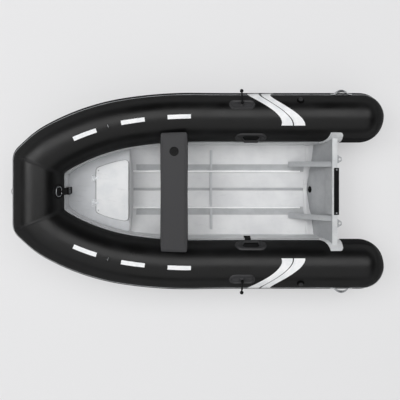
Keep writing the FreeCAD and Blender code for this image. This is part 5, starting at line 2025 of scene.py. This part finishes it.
@dataclass
class TransomTrim:
    """The motor pad's bolts and the drain plug."""

    rake: float = 17.0
    pad_across: float = 0.046
    bolt_y: float = 0.174
    bolt_radius: float = 0.0075
    bolts_down: tuple[float, float] = (0.030, 0.128)
    plug_sunk: float = 0.0088
    wing_out: float = 0.0125
    wing_half: float = 0.0145

    def build(self) -> None:
        """Makes the bolts and the plug."""
        rake = math.radians(self.rake)
        climb = np.array([-math.sin(rake), 0, math.cos(rake)])
        inward = np.array([math.cos(rake), 0, math.sin(rake)])
        low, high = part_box("motor_pad")
        crest = np.array([low.x, 0, high.z - self.pad_across * math.sin(rake)])
        spots = [(crest + inward * self.pad_across / 2, climb)]
        spots += [(crest - climb * down, -inward) for down in self.bolts_down]
        bolts = [button_head(at + np.array([0, side * self.bolt_y, 0]) + out * 0.0002, out,
                             self.bolt_radius) for side in (1, -1) for at, out in spots]
        add_object(joined("pad_bolts", bolts), STEEL)
        self.plug(inward)

    def plug(self, inward: np.ndarray) -> None:
        """Screw-in drain plug: a flange with a wing to turn it by.

        Args:
            inward: The direction that it faces.
        """
        base = middle_of("drain_plug") - inward * self.plug_sunk
        body = np.array([[0.0288, 0.0], [0.0288, 0.004], [0.0272, 0.0058], [0.019, 0.0062],
                         [0.0165, 0.0068], [0.0162, 0.0085], [0.015, 0.0095], [0.001, 0.0098]])
        flange = revolved("flange", base, inward, body, around=64, lobes=12, depth=0.03,
                          lobed=slice(0, 3))
        share = np.linspace(-1, 1, 17)
        line = base + inward * self.wing_out + share[:, None] * PORTWARD * self.wing_half
        swell = 1 - 0.35 * share ** 4
        wing = swept("wing", line, np.cross(PORTWARD, inward), oblong(0.006, 0.0092, 0.0022),
                     swell)
        piece = add_object(joined("drain_plug_screw", [flange, wing]), BLACK_PLASTIC)
        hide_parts("drain_plug")


# ---- bench seat --------------------------------------------------------------------------
@dataclass
class BenchSeat:
    """Inflated drop-stitch bench: a slab with round sides, a welded border seam and a valve.

    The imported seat's own shape is shrunk, remeshed and inflated, and no point may move
    further than `swell`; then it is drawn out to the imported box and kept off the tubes.
    """

    shrink: float = 0.0022
    voxel: float = 0.005
    swell: float = 0.0035
    slack: float = 0.0003
    seam_in: float = 0.017
    seam_half: float = 0.0022
    seam_deep: float = 0.0016
    seam_round: float = 0.012
    facing_up: float = 0.6
    pressure: float = 4.0
    frames: int = 20
    clear: float = 0.0008
    under_top: float = 0.0002

    def body(self) -> Piece:
        """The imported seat's shape, merged, shrunk and remeshed.

        Returns:
            The object, not yet finished.
        """
        piece = linked("bench_cushion", merged_copy("bench_seat", "bench_cushion"))
        remesh = piece.modifiers.new("voxels", "REMESH")
        remesh.mode = "VOXEL"
        remesh.voxel_size = self.voxel
        self.apply(piece)
        place, normal = self.arrays(piece.data)
        self.put(piece.data, place - normal * self.shrink)
        return piece

    @staticmethod
    def arrays(mesh: bpy.types.Mesh) -> tuple[np.ndarray, np.ndarray]:
        """Vertex places and normals as arrays.

        Args:
            mesh: The mesh.

        Returns:
            Places and normals, each n by 3.
        """
        place = np.zeros(len(mesh.vertices) * 3)
        mesh.vertices.foreach_get("co", place)
        normal = np.zeros(len(mesh.vertices) * 3, np.float32)
        mesh.vertex_normals.foreach_get("vector", normal)
        return place.reshape(-1, 3), normal.reshape(-1, 3).astype(float)

    @staticmethod
    def put(mesh: bpy.types.Mesh, place: np.ndarray) -> None:
        """Puts an array of places back into the mesh."""
        mesh.vertices.foreach_set("co", place.ravel())
        mesh.update()

    @staticmethod
    def apply(piece: Piece) -> None:
        """Applies every modifier of a piece.

        Args:
            piece: The piece, whose mesh is replaced.
        """
        graph = bpy.context.evaluated_depsgraph_get()
        graph.update()
        made = bpy.data.meshes.new_from_object(piece.evaluated_get(graph))
        made.name = piece.data.name
        piece.modifiers.clear()
        piece.data = made

    def inflate(self, piece: Piece) -> None:
        """Lets cloth swell under pressure and caps how far each point may move.

        Args:
            piece: The remeshed seat.
        """
        start, _ = self.arrays(piece.data)
        cloth = piece.modifiers.new("air", "CLOTH")
        cloth.settings.use_pressure = True
        cloth.settings.uniform_pressure_force = self.pressure
        cloth.settings.effector_weights.gravity = 0.0
        cloth.settings.quality = 4
        scene = bpy.context.scene
        scene.frame_start, scene.frame_end = 1, self.frames
        for number in range(1, self.frames + 1):
            scene.frame_set(number)
        graph = bpy.context.evaluated_depsgraph_get()
        made = bpy.data.meshes.new_from_object(piece.evaluated_get(graph))
        after, _ = self.arrays(made)
        moved = after - start
        far = np.linalg.norm(moved, axis=1, keepdims=True)
        moved *= np.minimum(1.0, self.swell / np.maximum(far, 1e-9))
        piece.modifiers.clear()
        bpy.data.meshes.remove(made)
        self.put(piece.data, start + moved)
        scene.frame_set(1)

    def filled(self, place: np.ndarray) -> np.ndarray:
        """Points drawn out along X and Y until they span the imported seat's box.

        Args:
            place: Points, n by 3.

        Returns:
            The moved points.
        """
        low, high = (np.array(corner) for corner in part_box("bench_seat"))
        least, most = place.min(0), place.max(0)
        grow = (high - low - 2 * self.slack) / (most - least)
        grow[2] = 1.0
        return (place - (least + most) / 2) * grow + (least + most) / 2

    def seat_on_tubes(self, place: np.ndarray) -> np.ndarray:
        """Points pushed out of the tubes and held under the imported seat's top.

        A point nearer to a tube's line than its skin moves straight out from that line; the
        line's own place is found from the point's X.

        Args:
            place: Points, n by 3.

        Returns:
            The moved points.
        """
        low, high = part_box("bench_seat")
        port = place.copy()
        port[:, 1] = np.abs(port[:, 1])
        gone = np.linspace(LINE.nearest(low.x - 0.1), LINE.nearest(high.x + 0.1), 400)
        line = LINE.frames(gone)
        at = np.interp(port[:, 0], line.origin[:, 0], gone)
        close = LINE.frames(at)
        ray = port - close.origin
        ray -= close.forward * np.sum(ray * close.forward, 1, keepdims=True)
        far = np.linalg.norm(ray, axis=1, keepdims=True)
        clear = LINE.radius + self.clear
        port = np.where(far < clear, port + ray / far * (clear - far), port)
        port[:, 1] *= np.sign(place[:, 1] + 1e-12)
        port[:, 2] = np.minimum(port[:, 2], high.z - self.under_top)
        return port

    def border(self, place: np.ndarray) -> np.ndarray:
        """How near each point of the top lies to the welded border, 0 to 1.

        The border is a rounded rectangle inside the outline: its signed distance is that of
        a box with round corners, and the nearness is a bell round its zero.

        Args:
            place: Points, n by 3.

        Returns:
            Nearness, n values.
        """
        low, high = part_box("bench_seat")
        half = np.array([(high.x - low.x) / 2, (high.y - low.y) / 2]) - self.seam_in
        middle = np.array([(high.x + low.x) / 2, (high.y + low.y) / 2])
        away = np.abs(place[:, :2] - middle) - (half - self.seam_round)
        outside = np.linalg.norm(np.maximum(away, 0), axis=1)
        distance = outside + np.minimum(away.max(1), 0) - self.seam_round
        return np.exp(-(distance / self.seam_half) ** 2)

    def build(self) -> None:
        """Makes the cushion, its seam, its finish and its valve."""
        piece = self.body()
        self.inflate(piece)
        smooth = piece.modifiers.new("finer", "SUBSURF")
        smooth.levels = smooth.render_levels = 1
        self.apply(piece)
        place, normal = self.arrays(piece.data)
        near = self.border(place) * (np.abs(normal[:, 2]) > self.facing_up)
        place = self.seat_on_tubes(self.filled(place))
        place = place - normal * (near * self.seam_deep)[:, None]
        self.put(piece.data, place)
        dress(piece, SEAT_FABRIC, HULL)
        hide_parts("bench_seat")
        self.seat_valve()

    def seat_valve(self) -> None:
        """Inflation valve let into the bench's top: flange, dish and a cross-winged cap."""
        base = middle_of("seat_valve")
        base[2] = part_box("seat_valve")[0].z + 0.0001
        ring = np.array([[0.0358, 0.0], [0.0356, 0.0022], [0.0335, 0.0042], [0.029, 0.0048],
                         [0.0262, 0.0044], [0.0252, 0.003], [0.0248, 0.0014], [0.02, 0.0012]])
        cap = np.array([[0.0178, 0.001], [0.0178, 0.0034], [0.0168, 0.0044], [0.014, 0.0046],
                        [0.0135, 0.0032], [0.002, 0.0030]])
        wings = [swept("wing", base + 0.0036 * UPWARD
                       + np.linspace(-0.0128, 0.0128, 9)[:, None] * aim,
                       np.cross(aim, UPWARD), oblong(0.0036, 0.0026, 0.0010))
                 for aim in (np.array([0.8, 0.6, 0]), np.array([-0.6, 0.8, 0]))]
        mesh = joined("bench_valve", [revolved("ring", base, UPWARD, ring, 56),
                                      revolved("cap", base, UPWARD, cap, 72, 12, 0.08,
                                               slice(0, 3))] + wings)
        piece = add_object(mesh, BLACK_PLASTIC)
        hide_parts("seat_valve")


@dataclass
class CradleTape:
    """Wide coated tape that bonds each tube to the hull's gunwale, along its underside."""

    start_deg: float = -77.6
    end_deg: float = -42.4
    rise: float = 0.0006
    thick: float = 0.0032
    aft: float = 0.201
    nose: float = 0.2

    def section(self) -> tuple[np.ndarray, np.ndarray]:
        """Angles and radii round the tape's closed section.

        Returns:
            Angles in degrees, and radii.
        """
        across = np.linspace(self.start_deg, self.end_deg, 9)
        return np.concatenate([across, across[::-1]]), \
            LINE.radius + self.rise + np.repeat([0, self.thick], 9)

    def build(self) -> None:
        """Makes the tape in three lengths."""
        angles, radius = self.section()
        last = LINE.length - self.nose
        gone = np.linspace(self.aft, last, 90)[:, None] + 0 * angles
        gone = np.concatenate([gone, LINE.to_mitre(last, angles, radius, 8)])
        points = LINE.frames(gone).polar(radius, angles)
        lengths = [("cradle_tape_" + side.word, gone, side.of(points)) for side in Side]
        lengths.append(("cradle_tape_bow", *LINE.across_bow(angles, radius, 9)))
        step = math.radians(self.end_deg - self.start_deg) * LINE.radius / 8
        for name, along, place in lengths:
            uv = wrapped_uv(along, np.arange(along.shape[1] + 1) * step)
            mesh = grid_mesh(name, place, wrap=True, closed=True, uv=uv)
            add_object(mesh, SEAM_TAPE)
        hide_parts("tube_cradle")


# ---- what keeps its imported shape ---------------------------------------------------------
@dataclass
class EasedNode:
    """A packed plate or moulding whose edges are eased, as deburred metal is.

    The copy is merged into whole faces and gets a small bevel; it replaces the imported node.
    """

    node: str
    finish: Finish
    slot: str
    width: float = 0.0015
    segments: int = 2
    body: str = HULL
    limit_deg: float = 25.0

    def shape(self, work: bmesh.types.BMesh) -> None:
        """Merges triangles that lie in one plane into whole faces."""
        bmesh.ops.dissolve_limit(work, angle_limit=math.radians(1.0), verts=work.verts,
                                 edges=work.edges)

    def build(self) -> None:
        """Makes the eased copy."""
        mesh = merged_copy(self.node, self.node + "_eased", self.shape)
        for name in [layer.name for layer in mesh.uv_layers]:
            mesh.uv_layers.remove(mesh.uv_layers[name])
        piece = add_object(mesh, self.finish, 180, self.body)
        bevel = piece.modifiers.new("eased", "BEVEL")
        bevel.width = self.width
        bevel.segments = self.segments
        bevel.limit_method = "ANGLE"
        bevel.angle_limit = math.radians(self.limit_deg)
        bevel.use_clamp_overlap = True
        bevel.harden_normals = True
        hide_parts(self.node)


@dataclass
class SaddleNode(EasedNode):
    """A transom saddle whose aft corner on the tube is rounded, as a sheared sheet is."""

    corner: float = 0.027

    def shape(self, work: bmesh.types.BMesh) -> None:
        """Cuts the corner with upright planes that touch a circle in turn.

        Args:
            work: The merged copy.
        """
        low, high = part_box(self.node)
        side = 1 if high.y > 0 else -1
        far = high.y if side > 0 else low.y
        aft = min(vert.co.x for vert in work.verts if abs(vert.co.y - far) < 0.004)
        centre = Vector((aft + self.corner, far - side * self.corner, 0))
        for turn in np.radians(np.linspace(36, 84, 7)):
            out = Vector((-math.cos(turn), side * math.sin(turn), 0))
            cut = bmesh.ops.bisect_plane(
                work, geom=work.verts[:] + work.edges[:] + work.faces[:], dist=1e-6,
                plane_co=centre + out * self.corner, plane_no=out, clear_outer=True)
            rim = [part for part in cut["geom_cut"] if isinstance(part, bmesh.types.BMEdge)]
            bmesh.ops.holes_fill(work, edges=rim)
        super().shape(work)


def eased_nodes() -> list[EasedNode]:
    """The welded and moulded nodes whose edges show, with how much each is eased.

    Returns:
        The nodes, in the order they are made.
    """
    return [
        EasedNode("transom", TRANSOM_PAINT_AND_PAINTED_SHADE, "transom_paint", 0.003, 3),
        EasedNode("transom_cap", CAP_PAINT, "cap_metal"),
        EasedNode("motor_pad", BLACK_PLASTIC, "black_plastic", 0.005, 4),
        EasedNode("clamp_plate", TRANSOM_PAINT_AND_PAINTED_SHADE, "cap_metal"),
        *(EasedNode("transom_knee_" + side.word, TRANSOM_PAINT_AND_PAINTED_SHADE, "hull_paint")
          for side in Side),
        *(SaddleNode("transom_saddle_" + side.word, CAP_PAINT, "transom_paint", 0.0014)
          for side in Side),
        EasedNode("lifting_eyes", TRANSOM_PAINT_AND_PAINTED_SHADE, "cap_metal"),
        # the stringers' white is a painted highlight on their tops
        EasedNode("floor_stringers", RIDGE_PAINTED_HIGHLIGHT, "hull_paint"),
        EasedNode("floor_frame", DECK_PAINT, "hull_paint", 0.0012),
        EasedNode("transom_foot_angle", HULL_PAINT, "hull_paint", 0.0012),
        EasedNode("bow_locker_lid", LID_PAINT, "lid_paint", 0.004, 3, LID),
        EasedNode("side_clip", BLACK_PLASTIC, "black_plastic", 0.002),
        # keel and rail take the darker grey as painted shade: the keel's groove, the rail under
        # the tubes
        EasedNode("keel_profile", TRANSOM_PAINT_AND_PAINTED_SHADE, "hull_paint", 0.002),
        EasedNode("gunwale_rail", TRANSOM_PAINT_AND_PAINTED_SHADE, "hull_paint"),
        EasedNode("lid_hinge_fixed", PRESSED_STEEL, "stainless_steel", 0.0006),
        EasedNode("lid_hinge_moving", PRESSED_STEEL, "stainless_steel", 0.0006, 2, LID),
        EasedNode("tow_ring_patch", STRAKE_RUBBER_AND_PAINTED_SHADE, "strake_rubber", 0.0012),
        EasedNode("d_ring_patch", STRAKE_RUBBER_AND_PAINTED_SHADE, "strake_rubber", 0.0012)]


@dataclass
class FacetShadeBands:
    """Painted shade, gritty grey, on the two facets of each bottom plate outboard of its ridge.
    """

    from_x: float = -0.900
    to_x: float = 0.560
    across: tuple[float, ...] = (0.152, 0.170, 0.194, 0.2185)
    thick: float = 0.0004
    rows: int = 60

    def build(self) -> None:
        """Lays the band on both plates."""
        for side in Side:
            plate = frame["nodes"]["bottom_plate_" + side.word].data
            tree = BVHTree.FromPolygons([vert.co for vert in plate.vertices],
                                        [face.vertices[:] for face in plate.polygons])
            x, y = crossed(np.linspace(self.from_x, self.to_x, self.rows),
                           np.array(self.across) * side.value)
            z = np.vectorize(lambda along, aside: tree.ray_cast(
                Vector((along, aside, 0.1)), Vector((0, 0, -1)))[0].z)(x, y)
            points = np.pad(np.stack([x, y, z + self.thick], -1), ((1, 1), (1, 1), (0, 0)),
                            mode="edge")
            points[[0, -1], :, 2] -= 2 * self.thick
            points[1:-1, [0, -1], 2] -= 2 * self.thick
            mesh = grid_mesh("grip_band_" + side.word, points)
            # the band's grey is painted shade on the steep facets
            add_object(mesh, FACET_PAINTED_SHADE)


@dataclass
class PaintedNodes:
    """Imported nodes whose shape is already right: each takes the finish of its slot."""

    finishes: dict[str, Finish] = field(default_factory=lambda: {
        "tube_fabric": TUBE_FABRIC, "strake_rubber": STRAKE_RUBBER_AND_PAINTED_SHADE,
        "hull_paint": HULL_PAINT, "lid_paint": LID_PAINT, "transom_paint": TRANSOM_PAINT_AND_PAINTED_SHADE,
        "cap_metal": CAP_PAINT, "black_plastic": BLACK_PLASTIC,
        "black_webbing_tape": WEBBING, "seat_fabric": SEAT_FABRIC,
        "stainless_steel": STEEL})
    special: dict[str, Finish] = field(default_factory=lambda: {"bow_deck": DECK_PAINT})

    def slot_of(self, name: str) -> str:
        """The record's slot of a node."""
        return next(part["material_slot"] for part in frame["record"]["subparts"]
                    if part["node"] == name)

    def build(self) -> None:
        """Dresses every node that still shows."""
        for name, node in frame["nodes"].items():
            if node.hide_render:
                continue
            slot = self.slot_of(name)
            finish = self.special.get(name, self.finishes[slot])
            finish.coat(node.data)
            REPORT.info("%s keeps its shape", name)


# ---- studio ------------------------------------------------------------------------------
@dataclass(frozen=True)
class SoftBox:
    """A long soft box along the boat, tilted about X and aimed at the boat's middle line."""

    aft: float
    fore: float
    tilt: float
    width: float
    watts: float
    away: float = 12.0
    aim_z: float = 0.2

    def build(self, name: str) -> None:
        """Adds the lamp under a name.

        Args:
            name: The lamp's name.
        """
        data = bpy.data.lights.new(name, "AREA")
        data.shape = "RECTANGLE"
        data.size, data.size_y = self.fore - self.aft, self.width
        data.energy = self.watts
        lamp = linked(name, data)
        turn, along = math.radians(self.tilt), (self.aft + self.fore) / 2
        lamp.location = (along, self.away * math.sin(turn), self.away * math.cos(turn))
        aim = Vector((along, 0, self.aim_z)) - lamp.location
        lamp.rotation_euler = aim.to_track_quat("-Z", "Y").to_euler()


@dataclass
class Studio:
    """Pale floor, three wide soft boxes overhead and a camera that looks straight down."""

    camera_over: float = 4.105
    camera_y: float = -0.2
    camera_x: float = 0.0045
    lens: float = 42.63
    shift: float = -0.08375
    sensor: float = 36.0
    sight: float = 200.0
    under_keel: float = 0.004
    floor_size: float = 60.0
    floor_colour: str = "#E7E7E8"
    floor_glow: float = 0.5
    boxes: tuple[SoftBox, ...] = (SoftBox(-10, 12, -18, 7.6, 1290),
                                  SoftBox(5, 13, -6, 8.0, 400),
                                  SoftBox(-10, 12, 32, 12.8, 690))
    horizon: str = "#B4B5B6"
    zenith: str = "#101010"
    ambient: float = 0.1

    def camera(self) -> None:
        """The camera over the boat: a view's top is starboard, its left the bow."""
        data = bpy.data.cameras.new("camera")
        data.lens = self.lens
        data.sensor_width = self.sensor
        data.shift_y = self.shift
        data.clip_end = self.sight
        camera = linked("camera", data)
        camera.location = (self.camera_x, self.camera_y, self.camera_over)
        camera.rotation_euler = (0, 0, math.pi)
        bpy.context.scene.camera = camera

    @staticmethod
    def seen(tree: Tree) -> Socket:
        """1 for rays from the camera, straight or by reflection or glass, and 0 for light.

        Args:
            tree: The node tree.

        Returns:
            The share's socket.
        """
        ray = add_node(tree, "LightPath").outputs
        share = ray["Is Camera Ray"]
        for kind in ("Is Glossy Ray", "Is Transmission Ray"):
            share = add_node(tree, "Math", {"operation": "MAXIMUM"},
                             {0: share, 1: ray[kind]}).outputs[0]
        return share

    def floor(self) -> None:
        """A wide plain floor under the keel."""
        half, level = self.floor_size / 2, CAD_BOX[0].z - self.under_keel
        side = np.linspace(-half, half, 3)
        x, y = crossed(side, side)
        mesh = grid_mesh("studio_floor", np.stack([x, y, 0 * x + level], -1))
        made = bpy.data.materials.new("studio_floor_painted")
        tree = clean_tree(made)
        paint = add_node(tree, "BsdfDiffuse", {"Color": linear(self.floor_colour)})
        glow = add_node(tree, "Emission", {"Color": linear(self.floor_colour)})
        share = add_node(tree, "Math", {"operation": "MULTIPLY", 1: self.floor_glow},
                         {0: self.seen(tree)})
        both = add_node(tree, "MixShader", None,
                        {0: share.outputs[0], 1: paint.outputs[0], 2: glow.outputs[0]})
        add_node(tree, "OutputMaterial", None, {"Surface": both.outputs[0]})
        mesh.materials.append(made)
        ground = linked("studio_floor", mesh)

    def air(self) -> None:
        """A dim world whose pale horizon only the camera and the reflections see."""
        world = bpy.data.worlds.new("studio_air")
        tree = clean_tree(world)
        where = add_node(tree, "TexCoord").outputs["Generated"]
        height = add_node(tree, "SeparateXYZ", None, {0: where}).outputs[2]
        share = add_node(tree, "MapRange", {**EASE, "From Min": 0.02, "From Max": 0.22},
                         {"Value": height})
        colour = add_node(tree, "Mix", {**COLOURS, 6: linear(self.horizon),
                                        7: linear(self.zenith)}, {0: share.outputs[0]})
        dim = add_node(tree, "Background", {"Color": linear("#FFFFFF"),
                                            "Strength": self.ambient})
        pale = add_node(tree, "Background", None, {"Color": colour.outputs[2]})
        both = add_node(tree, "MixShader", None, {0: self.seen(tree), 1: dim.outputs[0],
                                                  2: pale.outputs[0]})
        add_node(tree, "OutputWorld", None, {"Surface": both.outputs[0]})
        bpy.context.scene.world = world

    def build(self) -> None:
        """Sets camera, floor, lamps and the plain view transform."""
        self.camera()
        self.floor()
        self.air()
        for number, box in enumerate(self.boxes, 1):
            box.build(f"soft_box_{number}")
        bpy.context.scene.view_settings.view_transform = "Standard"


def main() -> None:
    """Builds the boat and the studio."""
    logging.basicConfig(level=logging.INFO, format="%(message)s")
    for part in (Studio(), AirTubes(), StripePair(), RubStrake(), CradleTape(), OarlockBase(),
                 CarryHandle(), GrabHandle(), InflationValve(), CrownEye(), BowStrap(),
                 LockerTrim(), ClipHook(), TransomTrim(), FacetShadeBands(), BenchSeat(),
                 *eased_nodes(), PaintedNodes()):
        part.build()


if __name__ == "__main__":
    main()
